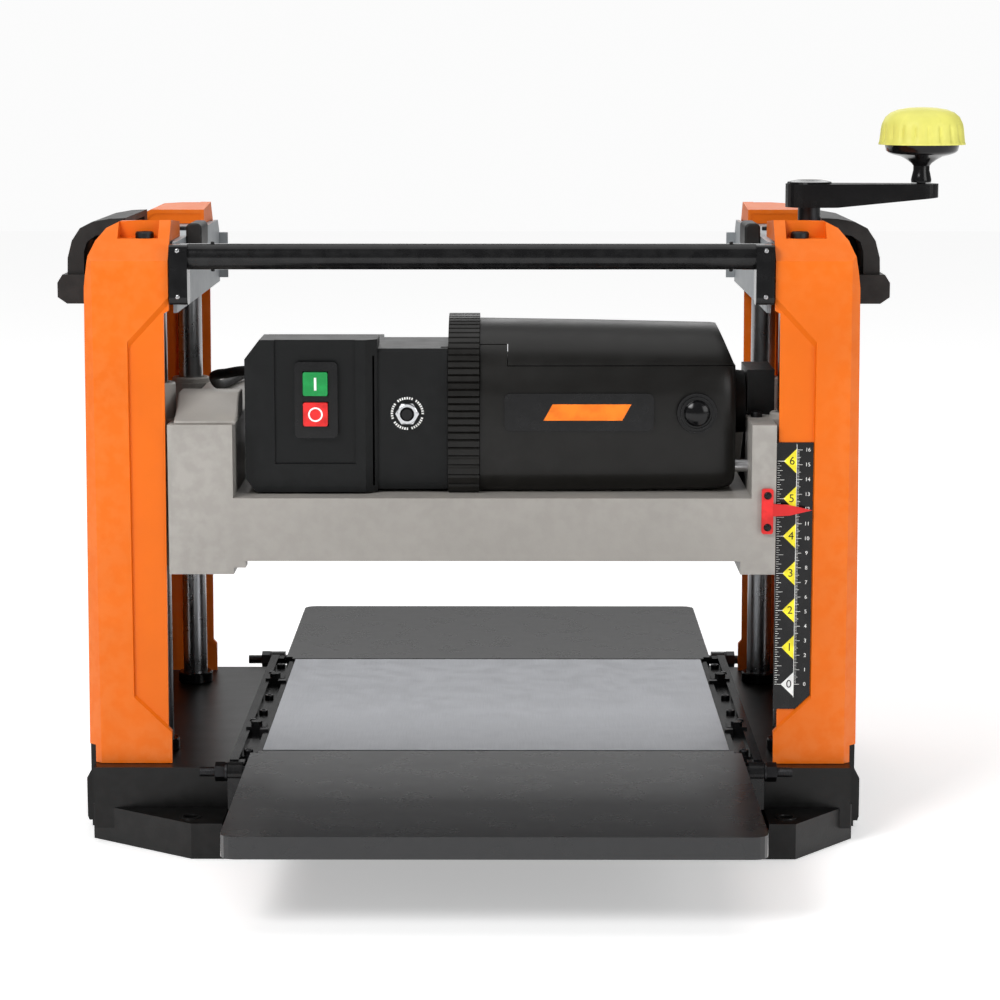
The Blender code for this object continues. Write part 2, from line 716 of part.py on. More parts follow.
def gear_cover():
    outline = rounded_rectangle((-68, 96), (185, 282), 8)
    plate = prism("x", outline, -BLOCK_OUTER_X - 3, -BLOCK_OUTER_X - GAP)
    bump = prism("x", circle((CUTTER_Y, GEAR_Z), 26), -BLOCK_OUTER_X - 6, -BLOCK_OUTER_X - 2)
    return joined(plate, bump)


def belt_cover():
    """The plate over the belt chamber, with a hood round the motor pulley."""
    outside = BLOCK_OUTER_X + GAP
    top = BELT_HOOD_TOP_Z
    outline = hull(circle((CUTTER_Y, CUTTER_Z), 21, 24) + [(-94, top), (-46, top), (-96, 186), (26, 186)])
    plate = prism("x", outline, outside, outside + 3)
    hood = box((BEAM_RIGHT_X + 1, outside + 3), (-96, -42), (BLOCK_TOP_Z + GAP, top))
    inside = box((BEAM_RIGHT_X + 2.6, outside), (-93.5, -44.5), (270, top - 2.5))
    shaft_hole = rod("x", (MOTOR_Y, MOTOR_Z), 13, BEAM_RIGHT_X - 3, BEAM_RIGHT_X + 5)
    return cut(joined(plate, hood), inside, shaft_hole)


def motor_outline(scale):
    """The motor's section: flat at the front, back and underside, round at the top."""
    wide = MOTOR_HALF_DEPTH
    half = [(-46, -56), (-53, -51.5), (-wide, -43)]
    for i in range(8):
        turn = math.pi / 2 * i / 8
        rise = (MOTOR_TOP - MOTOR_ROUND_FROM) * math.sin(turn)
        half.append((-wide * math.cos(turn), MOTOR_ROUND_FROM + rise))
    points = half + [(0, MOTOR_TOP)] + [(-u, v) for u, v in half[::-1]]
    return [(MOTOR_Y + u * scale, MOTOR_Z + v * scale) for u, v in points]


def motor_body(shrink):
    """The motor casing's solid, or its inside when shrunk and left open at the collar's end."""
    open_by = 6 if shrink else 0
    stations = [(5 - open_by, 1.0), (120, 0.99), (163, 0.975), (171, 0.955), (176, 0.9), (178, 0.84)]
    rings = []
    for x, scale in stations:
        size = scale - shrink / MOTOR_HALF_DEPTH
        along = x - shrink if x > 100 else x
        rings.append([(along, u, v) for u, v in motor_outline(size)])
    return skin(rings)


def motor_shell(upper):
    hole = rod("x", (MOTOR_Y, MOTOR_Z), 8, 170, 190)
    shell = cut(motor_body(0), motor_body(2.6), hole)
    gap = GAP if upper else 0
    below = box((0, 190), (-150, 0), (200, MOTOR_SEAM_Z + gap))
    step = box((0, MOTOR_SEAM_STEP_X + gap), (-150, 0), (300, MOTOR_SEAM_STEP_Z + gap))
    below = joined(below, step)
    return cut(shell, below) if upper else common(shell, below)


def motor_collar():
    """A ring round the joint between the motor and the switch end, ribbed along its length."""
    ribs = 58
    smooth = motor_outline(1.0)
    rings = []
    outline = []
    for i in range(ribs * 4):
        turn = 2 * math.pi * i / (ribs * 4)
        # The rib rides on the motor's section, measured out along a ray from its centre.
        reach = ray_length(smooth, turn) + (3.2 if i % 4 in (1, 2) else 1.9)
        outline.append((MOTOR_Y + reach * math.cos(turn), MOTOR_Z + reach * math.sin(turn)))
    for x in (-16.4, 4.7):
        rings.append([(x, u, v) for u, v in outline])
    inside = prism("x", motor_outline(0.9), -20, 10)
    deck = box((-20, 10), (-150, 0), (200, BEAM_TOP_Z + GAP))
    return cut(skin(rings), inside, deck)


def ray_length(outline, turn):
    """How far the motor's section reaches from its centre in one direction."""
    du, dv = math.cos(turn), math.sin(turn)
    best = 0.0
    for (au, av), (bu, bv) in zip(outline, outline[1:] + outline[:1]):
        au, bu = au - MOTOR_Y, bu - MOTOR_Y
        av, bv = av - MOTOR_Z, bv - MOTOR_Z
        across = du * (bv - av) - dv * (bu - au)
        if abs(across) < 1e-9:
            continue
        share = (dv * au - du * av) / across
        if -1e-9 <= share <= 1 + 1e-9:
            reach = (au + share * (bu - au)) * du + (av + share * (bv - av)) * dv
            best = max(best, reach)
    return best


def switch_housing():
    """The switch box, higher at its front, and the tail that carries the breaker up to the motor's collar."""
    front, top = SWITCH_FRONT_Y, SWITCH_TOP_Z
    face = [(-153, 245), (-146, 236), (-64, 236), (-64, top), (-146, top), (-153, top - 8)]
    hood = [(-153, 300), (-153, top - 6), (-143, SWITCH_HOOD_Z), (-64, SWITCH_HOOD_Z), (-64, 300)]
    groove = prism("z", [(-78, front - 5), (-60, front + 10), (-60, front - 5)], 230, 345)
    tail = [(-126, 237), (-126, 330), (-124, 332.3), (-50, 333), (-32, 325), (-24, 311), (-24, 237)]
    body = joined(prism("y", face, front, -18), prism("y", hood, front, -93.5))
    body = joined(cut(body, groove), prism("x", tail, -66, -16.8))
    cutters = [
        box((-150, -66), (front + 4, -22), (240, 328)),
        box((-67, -10), (-122, -34), (241, 326)),
        # The sunk panel round the switch, and the window behind the buttons.
        box((-133, -78.6), (front - 5, front + 2), (255.2, 345)),
        box((-117.5, -93.8), (front - 5, front + 10), (277, 321.5)),
        rod("y", BREAKER, 5.2, front - 5, -110),
    ]
    return cut(body, *cutters)


def switch_bezel():
    plate = prism("y", rounded_rectangle((-119.3, -90.4), (273, 324.4), 3), -137, SWITCH_FRONT_Y + 2 - GAP)
    windows = []
    for low, high in (ON_BUTTON_Z, OFF_BUTTON_Z):
        windows.append(box((BUTTON_X[0] - 0.4, BUTTON_X[1] + 0.4), (-140, -130), (low - 0.4, high + 0.4)))
    return cut(plate, *windows)


def push_button(z):
    return prism("y", rounded_rectangle(BUTTON_X, z, 1.2, 2), BUTTON_FRONT_Y, -127)


def breaker_bezel():
    nut = prism("y", circle(BREAKER, 8, 6), -129.5, -126 - GAP)
    ring = rod("y", BREAKER, 6.6, -131.5, -129)
    return cut(joined(nut, ring), rod("y", BREAKER, 4.9, -140, -120))


def reset_button():
    return turned("y", BREAKER, [(-134, 3.6), (-133, 4.6), (-116, 4.6)])


def brush_cap():
    stations = [(-135.4, 4), (-134.6, 7.5), (-134, 8.6), (-133.2, 9), (-133.2, 12.8), (-132.4, 13.4)]
    disc = turned("y", (151.3, MOTOR_Z - 1.5), stations)
    return cut(disc, box((150.3, 152.3), (-137, -134.6), (284, 295)))


def label_plate():
    return prism("y", rounded_rectangle((21.6, 122.2), (277.4, 302.8), 4), -133.4, -132.3)


def depth_pointer():
    plate = prism("y", rounded_rectangle((193.6, 201.4), (211, 241.5), 1.5, 2), -157, HEAD_FRONT_Y - GAP)
    tongue = [(197, 222.6), (212, 223.4), (227.4, 227), (212, 230.6), (197, 231.4)]
    return joined(plate, prism("y", tongue, -156.4, -155))


def dust_hood():
    """The chip chute behind the motor, with a round hose port at the back."""
    low = BEAM_TOP_Z + GAP
    outer = [(44, low), (44, 250), (76, 292), (136, 292), (136, low)]
    inner = [(47, low - 5), (47, 249), (78, 289), (133, 289), (133, low - 5)]
    body = joined(prism("x", outer, -98, 98), rod("y", (0, 263), 27, 120, 168, 32))
    return cut(body, prism("x", inner, -95, 95), rod("y", (0, 263), 24.5, 100, 175, 32))


def power_cable():
    """The mains cable from the switch box over the left block to the back of the head."""
    path = [(-157.5, -60, 310.5), (-165, -56, 309.5), (-174, -46, 307), (-182, -30, 304.5), (-187, -6, 300)]
    path += [(-188, 25, 292), (-186, 55, 288.2), (-180, 104, 288.4), (-174, 132, 289.5), (-172.5, 142, 281)]
    path += [(-172, 144, 262), (-172, 144, 236)]
    rings = []
    for i, here in enumerate(path):
        before, after = path[max(i - 1, 0)], path[min(i + 1, len(path) - 1)]
        ahead = (Vector(after) - Vector(before)).normalized()
        side = ahead.orthogonal().normalized()
        if rings:
            # Each ring keeps the last one's roll, so the tube doesn't twist.
            side = (last - ahead * last.dot(ahead)).normalized()
        last = side
        other = ahead.cross(side)
        ring = []
        for u, v in circle((0, 0), CABLE_RADIUS, 12):
            ring.append(tuple(Vector(here) + side * u + other * v))
        rings.append(ring)
    return skin(rings)


# ---------------------------------------------------------------- drive and feed

def cutterhead():
    centre = (CUTTER_Y, CUTTER_Z)
    stations = [
        (-168, 12.5),
        (ROLLER_LEFT_X, 12.5),
        (ROLLER_LEFT_X, CUTTER_RADIUS),
        (ROLLER_RIGHT_X, CUTTER_RADIUS),
        (ROLLER_RIGHT_X, 12.5),
        (PULLEY_X[0], 12.5),
        (PULLEY_X[0], CUTTER_PULLEY_RADIUS),
        (PULLEY_X[1], CUTTER_PULLEY_RADIUS),
    ]
    pinion = prism("x", gear_outline(centre, PINION_TEETH, math.pi / 2), *GEAR_X)
    stub = rod("x", centre, 5, GEAR_X[0], -165)
    body = joined(turned("x", centre, stations), stub, pinion)
    slots = []
    for side in (-1, 1):
        z = (CUTTER_Z + side * 16.8, CUTTER_Z + side * 26)
        slots.append(box((ROLLER_LEFT_X - 1, ROLLER_RIGHT_X + 1), (-1.8, 1.8), z))
    return cut(body, *slots)


def cutter_knife(side):
    z = (CUTTER_Z + side * 17.1, CUTTER_Z + side * (KNIFE_TIP_RADIUS - 3))
    blade = box((-149, 177), (-1.5, 1.5), z)
    tip = CUTTER_Z + side * KNIFE_TIP_RADIUS
    edge = [(-1.5, z[1] - side * 0.1), (1.5, z[1] - side * 0.1), (1.5, tip), (1.1, tip)]
    return joined(blade, prism("x", edge, -149, 177))


def feed_roller(y):
    centre = (y, ROLLER_Z)
    stations = [
        (CHAIN_WHEEL_X[0] - 1, CHAIN_WHEEL_RADIUS - 0.7),
        (CHAIN_WHEEL_X[0], CHAIN_WHEEL_RADIUS),
        (CHAIN_WHEEL_X[1], CHAIN_WHEEL_RADIUS),
        (CHAIN_WHEEL_X[1], 5),
        (-168, 5),
        (-168, 8),
        (ROLLER_LEFT_X, 8),
        (ROLLER_LEFT_X, ROLLER_RADIUS),
        (ROLLER_RIGHT_X, ROLLER_RADIUS),
        (ROLLER_RIGHT_X, 8),
        (184.5, 8),
    ]
    return turned("x", centre, stations)


def reduction_gear():
    centre = (CUTTER_Y, GEAR_Z)
    gap_down = -math.pi / 2 + math.pi / GEAR_TEETH
    wheel = prism("x", gear_outline(centre, GEAR_TEETH, gap_down), GEAR_X[0], GEAR_X[1] - 1)
    stations = [
        (CHAIN_WHEEL_X[0] - 1, CHAIN_WHEEL_RADIUS - 0.7),
        (CHAIN_WHEEL_X[0], CHAIN_WHEEL_RADIUS),
        (CHAIN_WHEEL_X[1], CHAIN_WHEEL_RADIUS),
        (CHAIN_WHEEL_X[1], 5),
        (-161, 5),
    ]
    return joined(wheel, turned("x", centre, stations))


def roller_chain():
    centres = [(CUTTER_Y, GEAR_Z), (-ROLLER_Y, ROLLER_Z), (ROLLER_Y, ROLLER_Z)]
    wheels = [(centre, CHAIN_WHEEL_RADIUS) for centre in centres]
    outer = prism("x", loop_round(wheels, 2.6, 20), *CHAIN_X)
    return cut(outer, prism("x", loop_round(wheels, GAP, 20), -197, -189))


def drive_belt():
    wheels = [((CUTTER_Y, CUTTER_Z), CUTTER_PULLEY_RADIUS), ((MOTOR_Y, MOTOR_Z), MOTOR_PULLEY_RADIUS)]
    outer = prism("x", loop_round(wheels, 2.8), *BELT_X)
    return cut(outer, prism("x", loop_round(wheels, GAP), 189, 199))


def motor_rotor():
    stations = [
        (10, 6),
        (20, 6),
        (20, 26),
        (120, 26),
        (124, 14),
        (142, 14),
        (142, 6),
        (154, 6),
        (154, 36),
        (160, 36),
        (160, 6),
        (PULLEY_X[0], 6),
        (PULLEY_X[0], MOTOR_PULLEY_RADIUS),
        (PULLEY_X[1], MOTOR_PULLEY_RADIUS),
    ]
    return turned("x", (MOTOR_Y, MOTOR_Z), stations)


def kickback_pawls():
    """A row of hooked plates on one shaft, trailing in the feed direction."""
    shaft = rod("x", (PAWL_Y, PAWL_Z), 4, -163, 183, 12)
    hook = [(-7, 2), (-2, 7), (6, 5), (13, -20), (16, -33), (10, -32), (-4, -12)]
    outline = [(PAWL_Y + u, PAWL_Z + v) for u, v in hook]
    plates = [prism("x", outline, x, x + 5) for x in range(-132, 170, 50)]
    return joined(shaft, *plates)


# ---------------------------------------------------------------- assembly

def build():
    for leftover in list(bpy.data.objects):
        bpy.data.objects.remove(leftover)

    place("base", base(), BLACK_CAST)
    place("bed_plate", bed_plate(), STEEL)
    for side, label in ((-1, "left"), (1, "right")):
        place(f"side_rail_{label}", side_rail(side), BLACK_METAL)
        for end, table in ((-1, "infeed"), (1, "outfeed")):
            place(f"hinge_bolt_{table}_{label}", hinge_bolt(side, end), BLACK_METAL)
        for end, row in ((-1, "front"), (1, "rear")):
            place(f"guide_post_{row}_{label}", guide_post(side * POST_X, end * POST_Y), CHROME)

    cover = front_cover_right()
    place("column_cover_front_right", cover.copy(), ORANGE)
    place("column_cover_front_left", mirrored(cover, "x"), ORANGE)
    place("column_cover_rear_right", mirrored(cover, "y"), ORANGE)
    place("column_cover_rear_left", mirrored(mirrored(cover, "y"), "x"), ORANGE)
    pairs = (
        ("side_panel", side_panel_right(), BLACK_PLASTIC),
        ("top_frame", top_frame_right(), PLATE_GREY),
        ("crossbar_bracket", crossbar_bracket_right(), BLACK_PLASTIC),
        ("carry_handle", carry_handle_right(), BLACK_PLASTIC),
    )
    for name, mesh, colour in pairs:
        place(f"{name}_right", mesh.copy(), colour)
        place(f"{name}_left", mirrored(mesh, "x"), colour)
    place("crossbar", crossbar(), BLACK_METAL)
    place("depth_scale", depth_scale(), BLACK_PLASTIC)
    place("lift_chain", lift_chain(), DARK_STEEL)

    place("head_casting", head_casting(), HEAD_GREY)
    place("gear_cover", gear_cover(), BLACK_PLASTIC)
    place("belt_cover", belt_cover(), BLACK_PLASTIC)
    place("motor_upper_shell", motor_shell(True), BLACK_PLASTIC)
    place("motor_lower_shell", motor_shell(False), BLACK_PLASTIC)
    place("motor_collar", motor_collar(), BLACK_PLASTIC)
    place("switch_housing", switch_housing(), BLACK_PLASTIC)
    place("switch_bezel", switch_bezel(), BLACK_PLASTIC)
    place("breaker_bezel", breaker_bezel(), CHROME)
    place("brush_cap", brush_cap(), BLACK_PLASTIC)
    place("label_plate", label_plate(), BLACK_PLASTIC)
    place("depth_pointer", depth_pointer(), RED)
    place("dust_hood", dust_hood(), BLACK_PLASTIC)
    place("power_cable", power_cable(), RUBBER)
    place("roller_chain", roller_chain(), DARK_STEEL)
    place("drive_belt", drive_belt(), RUBBER)

    button_x = sum(BUTTON_X) / 2
    for name, z, colour in (("on_button", ON_BUTTON_Z, GREEN), ("off_button", OFF_BUTTON_Z, RED)):
        place(name, push_button(z), colour, (button_x, BUTTON_FRONT_Y, sum(z) / 2))
    place("reset_button", reset_button(), BLACK_PLASTIC, (BREAKER[0], -134, BREAKER[1]))

    cutter = (0, CUTTER_Y, CUTTER_Z)
    place("cutterhead", cutterhead(), DARK_STEEL, cutter)
    place("cutter_knife_lower", cutter_knife(-1), STEEL, cutter)
    place("cutter_knife_upper", cutter_knife(1), STEEL, cutter)
    place("motor_rotor", motor_rotor(), DARK_STEEL, (0, MOTOR_Y, MOTOR_Z))
    place("reduction_gear", reduction_gear(), DARK_STEEL, (0, CUTTER_Y, GEAR_Z))
    place("infeed_roller", feed_roller(-ROLLER_Y), RUBBER, (0, -ROLLER_Y, ROLLER_Z))
    place("outfeed_roller", feed_roller(ROLLER_Y), RUBBER, (0, ROLLER_Y, ROLLER_Z))
    place("kickback_pawls", kickback_pawls(), DARK_STEEL, (0, PAWL_Y, PAWL_Z))

    place("leadscrew_right", leadscrew(1), STEEL, (SCREW_X, SCREW_Y, 0))
    place("leadscrew_left", leadscrew(-1), STEEL, (-SCREW_X, SCREW_Y, 0))
    place("crank_arm", crank_arm(), BLACK_METAL, (SCREW_X, SCREW_Y, 0))
    place("crank_knob", crank_knob(), LIME, (SCREW_X + CRANK_RADIUS, SCREW_Y, 0))
    place("infeed_table", folding_table(-1), DARK_STEEL, (0, -FOLD_Y, FOLD_Z))
    place("outfeed_table", folding_table(1), DARK_STEEL, (0, FOLD_Y, FOLD_Z))


build()
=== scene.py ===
"""Studio picture of the bench thickness planer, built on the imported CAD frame.

Lengths are millimetres unless a name says otherwise. +X is the crank side, +Y away from the
operator and +Z up, with the origin on the bench under the middle of the base.
"""

import math

import bmesh
import bpy
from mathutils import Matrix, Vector


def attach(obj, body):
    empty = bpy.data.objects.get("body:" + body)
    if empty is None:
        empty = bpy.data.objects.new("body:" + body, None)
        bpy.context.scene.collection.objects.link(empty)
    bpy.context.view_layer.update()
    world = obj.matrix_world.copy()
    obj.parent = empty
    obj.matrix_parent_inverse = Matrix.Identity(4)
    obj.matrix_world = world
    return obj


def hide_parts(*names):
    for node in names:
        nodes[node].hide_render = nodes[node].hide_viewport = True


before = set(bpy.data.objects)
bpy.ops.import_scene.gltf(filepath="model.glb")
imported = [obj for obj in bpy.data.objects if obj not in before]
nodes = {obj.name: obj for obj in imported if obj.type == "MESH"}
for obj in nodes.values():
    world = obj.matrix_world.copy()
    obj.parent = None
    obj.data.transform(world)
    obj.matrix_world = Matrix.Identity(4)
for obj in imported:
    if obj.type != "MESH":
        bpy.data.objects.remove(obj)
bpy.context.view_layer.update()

MM = 0.001
SMOOTH_ANGLE = math.radians(38)

# Places on the machine that several pieces share
SCALE_FRONT_Y = -150.3
SCALE_LINE_X = 217.2
SCALE_ZERO_Z = 107
INCH = 25.4
SCALE_INCHES = 6
SCALE_HALF_CENTIMETRES = 32
FOOT_HOLES_X, FOOT_HOLE_Y = (-188, 210), 187
FOOT_TOP_Z = 24
POST_X, POST_Y, POST_RADIUS = 216.5, 110, 9
POST_FOOT_Z, POST_TOP_Z = 52.3, 401.7
SCREW_X, SCREW_Y, SCREW_RADIUS = 232, -60, 6
KNOB_X = 309
KNOB_FLUTES = 20
CROSSBAR = (-145, 395.6)
CROSSBAR_HALF = 193.5
FRAME_TOP_Z = 404.8
TABLE_CENTRE_X, TABLE_HALF = 16, 160
TABLE_EDGE_Y = 152
RAIL_HALF = 179
FOLD_Y, FOLD_Z = 182, 54
BEAM_TOP_Z = 234.6
BLOCK_TOP_Z = 284
MOTOR_Y, MOTOR_Z = -76, 291
MOTOR_TOP = 57.8
MOTOR_HALF_DEPTH = 56
MOTOR_ROUND_FROM = 9
MOTOR_SEAM_Z = 320.5
MOTOR_SEAM_STEP = (23.5, 334)
COLLAR_RIBS = 78
BRUSH_CAP = (151.3, 289.5)
BREAKER = (-44, 288.5)
BREAKER_TICKS = 40
BUTTON_MARK_Y = (-139.75, -139.4)
DUST_PORT = (0, 263)
ROLLER_Y, ROLLER_Z = 48, 194.8
CUTTER_Z = 205
CABLE_RADIUS = 3.5

# Camera: a pinhole fitted to the printed scale, the table and the columns
CAMERA_AT = (25.9, -2040.5, 521.9)
CAMERA_PITCH = math.radians(-8.69)
CAMERA_YAW = 0.0038
CAMERA_LENS = 102.7

# Light: the sky as a lamp and as the camera sees it, and the floor's glow near and far
SKY_LIGHT, SKY_SEEN = 0.22, 0.97
FLOOR_GLOW = (0.42, 0.74)
FLOOR_GLOW_FROM, FLOOR_GLOW_TO = 450, 2600
LAMPS_AIM_Z = 250


# ---------------------------------------------------------------- materials

BLACK_WORN = (0.05, 0.05, 0.05)


class Material:
    """A Principled material whose colour, roughness and relief come from noise."""

    def __init__(self, name, colour, roughness, metallic=0.0):
        self.made = bpy.data.materials.new(name)
        self.made.use_nodes = True
        self.tree = self.made.node_tree
        self.shader = self.tree.nodes["Principled BSDF"]
        self.shader.inputs["Metallic"].default_value = metallic
        self.shader.inputs["Specular IOR Level"].default_value = 0.28
        self.colour_from = None
        self.relief_from = None
        self.coordinates = self.add("ShaderNodeTexCoord").outputs["Object"]
        self.set_colour(colour)
        self.set_roughness(roughness)

    def add(self, kind, **values):
        node = self.tree.nodes.new(kind)
        for key, value in values.items():
            if hasattr(node, key):
                setattr(node, key, value)
            else:
                node.inputs[key.replace("_", " ").title()].default_value = value
        return node

    def link(self, source, target):
        self.tree.links.new(source, target)

    def set_colour(self, colour):
        self.shader.inputs["Base Color"].default_value = (*colour, 1)
        plain = self.add("ShaderNodeRGB")
        plain.outputs[0].default_value = (*colour, 1)
        self.colour_from = plain.outputs[0]
        self.link(self.colour_from, self.shader.inputs["Base Color"])

    def set_roughness(self, roughness):
        self.roughness = roughness
        self.shader.inputs["Roughness"].default_value = roughness

    def noise(self, size, detail=5.0, stretch=(1, 1, 1)):
        """Noise with features about this many millimetres across, drawn out along the stretched axes."""
        mapping = self.add("ShaderNodeMapping")
        per_metre = 1 / (size * MM)
        mapping.inputs["Scale"].default_value = [per_metre / s for s in stretch]
        self.link(self.coordinates, mapping.inputs["Vector"])
        texture = self.add("ShaderNodeTexNoise")
        texture.inputs["Scale"].default_value = 1.0
        texture.inputs["Detail"].default_value = detail
        self.link(mapping.outputs[0], texture.inputs["Vector"])
        return texture.outputs["Fac"]

    def ramp(self, source, low, high):
        """0 below low, 1 above high."""
        spread = self.add("ShaderNodeMapRange")
        spread.clamp = True
        spread.inputs["From Min"].default_value = low
        spread.inputs["From Max"].default_value = high
        self.link(source, spread.inputs["Value"])
        return spread.outputs[0]

    def mix_colour(self, share, colour, strength=1.0):
        """This colour laid over what is there, where share is 1."""
        scaled = self.add("ShaderNodeMath", operation="MULTIPLY")
        scaled.inputs[1].default_value = strength
        self.link(share, scaled.inputs[0])
        mix = self.add("ShaderNodeMixRGB")
        mix.inputs["Color2"].default_value = (*colour, 1)
        self.link(scaled.outputs[0], mix.inputs["Fac"])
        self.link(self.colour_from, mix.inputs["Color1"])
        self.colour_from = mix.outputs[0]
        self.link(self.colour_from, self.shader.inputs["Base Color"])
        return self

    def vary_roughness(self, share, other, strength=1.0):
        spread = self.add("ShaderNodeMapRange")
        spread.inputs["To Min"].default_value = self.roughness
        spread.inputs["To Max"].default_value = self.roughness + (other - self.roughness) * strength
        self.link(share, spread.inputs["Value"])
        self.link(spread.outputs[0], self.shader.inputs["Roughness"])
        return self

    def relief(self, height, depth, strength=1.0):
        """Surface relief this many millimetres deep, added to any relief already there."""
        bump = self.add("ShaderNodeBump")
        bump.inputs["Strength"].default_value = strength
        bump.inputs["Distance"].default_value = depth * MM
        self.link(height, bump.inputs["Height"])
        if self.relief_from:
            self.link(self.relief_from, bump.inputs["Normal"])
        self.relief_from = bump.outputs[0]
        self.link(self.relief_from, self.shader.inputs["Normal"])
        return self

    def edge_wear(self, colour, strength, start=0.52, end=0.62):
        """Rubbed edges: this colour where the surface turns outwards, broken up by noise."""
        edges = self.ramp(self.add("ShaderNodeNewGeometry").outputs["Pointiness"], start, end)
        broken = self.add("ShaderNodeMath", operation="MULTIPLY")
        self.link(edges, broken.inputs[0])
        self.link(self.ramp(self.noise(9, 8), 0.4, 0.6), broken.inputs[1])
        return self.mix_colour(broken.outputs[0], colour, strength)

    def dust(self, colour, strength):
        """A thin film of sawdust on faces that look up."""
        split = self.add("ShaderNodeSeparateXYZ")
        self.link(self.add("ShaderNodeNewGeometry").outputs["Normal"], split.inputs[0])
        upward = self.ramp(split.outputs["Z"], 0.6, 1.0)
        patchy = self.add("ShaderNodeMath", operation="MULTIPLY")
        self.link(upward, patchy.inputs[0])
        self.link(self.ramp(self.noise(30, 8), 0.45, 0.75), patchy.inputs[1])
        return self.mix_colour(patchy.outputs[0], colour, strength)

    def glow_away(self, near, far, low, high):
        """A glow that grows with the distance from the origin, so that a floor stays pale past its lamps."""
        distance = self.add("ShaderNodeVectorMath", operation="LENGTH")
        self.link(self.coordinates, distance.inputs[0])
        spread = self.add("ShaderNodeMapRange")
        spread.inputs["From Min"].default_value = near * MM
        spread.inputs["From Max"].default_value = far * MM
        spread.inputs["To Min"].default_value = low
        spread.inputs["To Max"].default_value = high
        self.link(distance.outputs["Value"], spread.inputs["Value"])
        self.link(spread.outputs[0], self.shader.inputs["Emission Strength"])
        self.shader.inputs["Emission Color"].default_value = (1, 1, 1, 1)
        return self

    def coat(self, weight, roughness):
        self.shader.inputs["Coat Weight"].default_value = weight
        self.shader.inputs["Coat Roughness"].default_value = roughness
        return self


def painted(name, colour, roughness, worn=(0.5, 0.5, 0.5), peel=0.03, grain=1.4):
    """Sprayed paint: orange-peel relief, faint cloudiness and slightly rubbed edges."""
    paint = Material(name, colour, roughness)
    darker = [c * 0.86 for c in colour]
    paint.mix_colour(paint.ramp(paint.noise(60, 6), 0.4, 0.7), darker, 0.5)
    paint.vary_roughness(paint.ramp(paint.noise(22, 8), 0.3, 0.75), roughness + 0.05)
    paint.relief(paint.noise(grain, 3), peel)
    paint.edge_wear(worn, 0.12)
    return paint


def moulded(name, colour, roughness, relief=0.05, grain=0.8):
    """Textured plastic: fine spark-eroded grain, scuffs and a little dust."""
    plastic = Material(name, colour, roughness)
    paler = [c * 1.4 + 0.0015 for c in colour]
    plastic.mix_colour(plastic.ramp(plastic.noise(45, 7), 0.45, 0.75), paler, 0.4)
    plastic.vary_roughness(plastic.ramp(plastic.noise(16, 8), 0.35, 0.75), roughness + 0.08)
    plastic.relief(plastic.noise(grain, 4), relief)
    plastic.edge_wear([c * 2.2 + 0.006 for c in colour], 0.3)
    return plastic


def metal(name, colour, roughness, stretch=(1, 1, 1), size=0.35, relief=0.006, other=0.15):
    """Worked metal: streaks drawn out along the working direction, and patches of duller surface."""
    steel = Material(name, colour, roughness, 1.0)
    streaks = steel.noise(size, 4, stretch)
    steel.mix_colour(steel.ramp(streaks, 0.35, 0.75), [c * 0.72 for c in colour], 0.55)
    steel.mix_colour(steel.ramp(steel.noise(35, 6), 0.4, 0.85), [c * 0.85 for c in colour], 0.3)
    steel.vary_roughness(steel.ramp(steel.noise(14, 7), 0.4, 0.75), roughness + other)
    steel.relief(streaks, relief)
    return steel


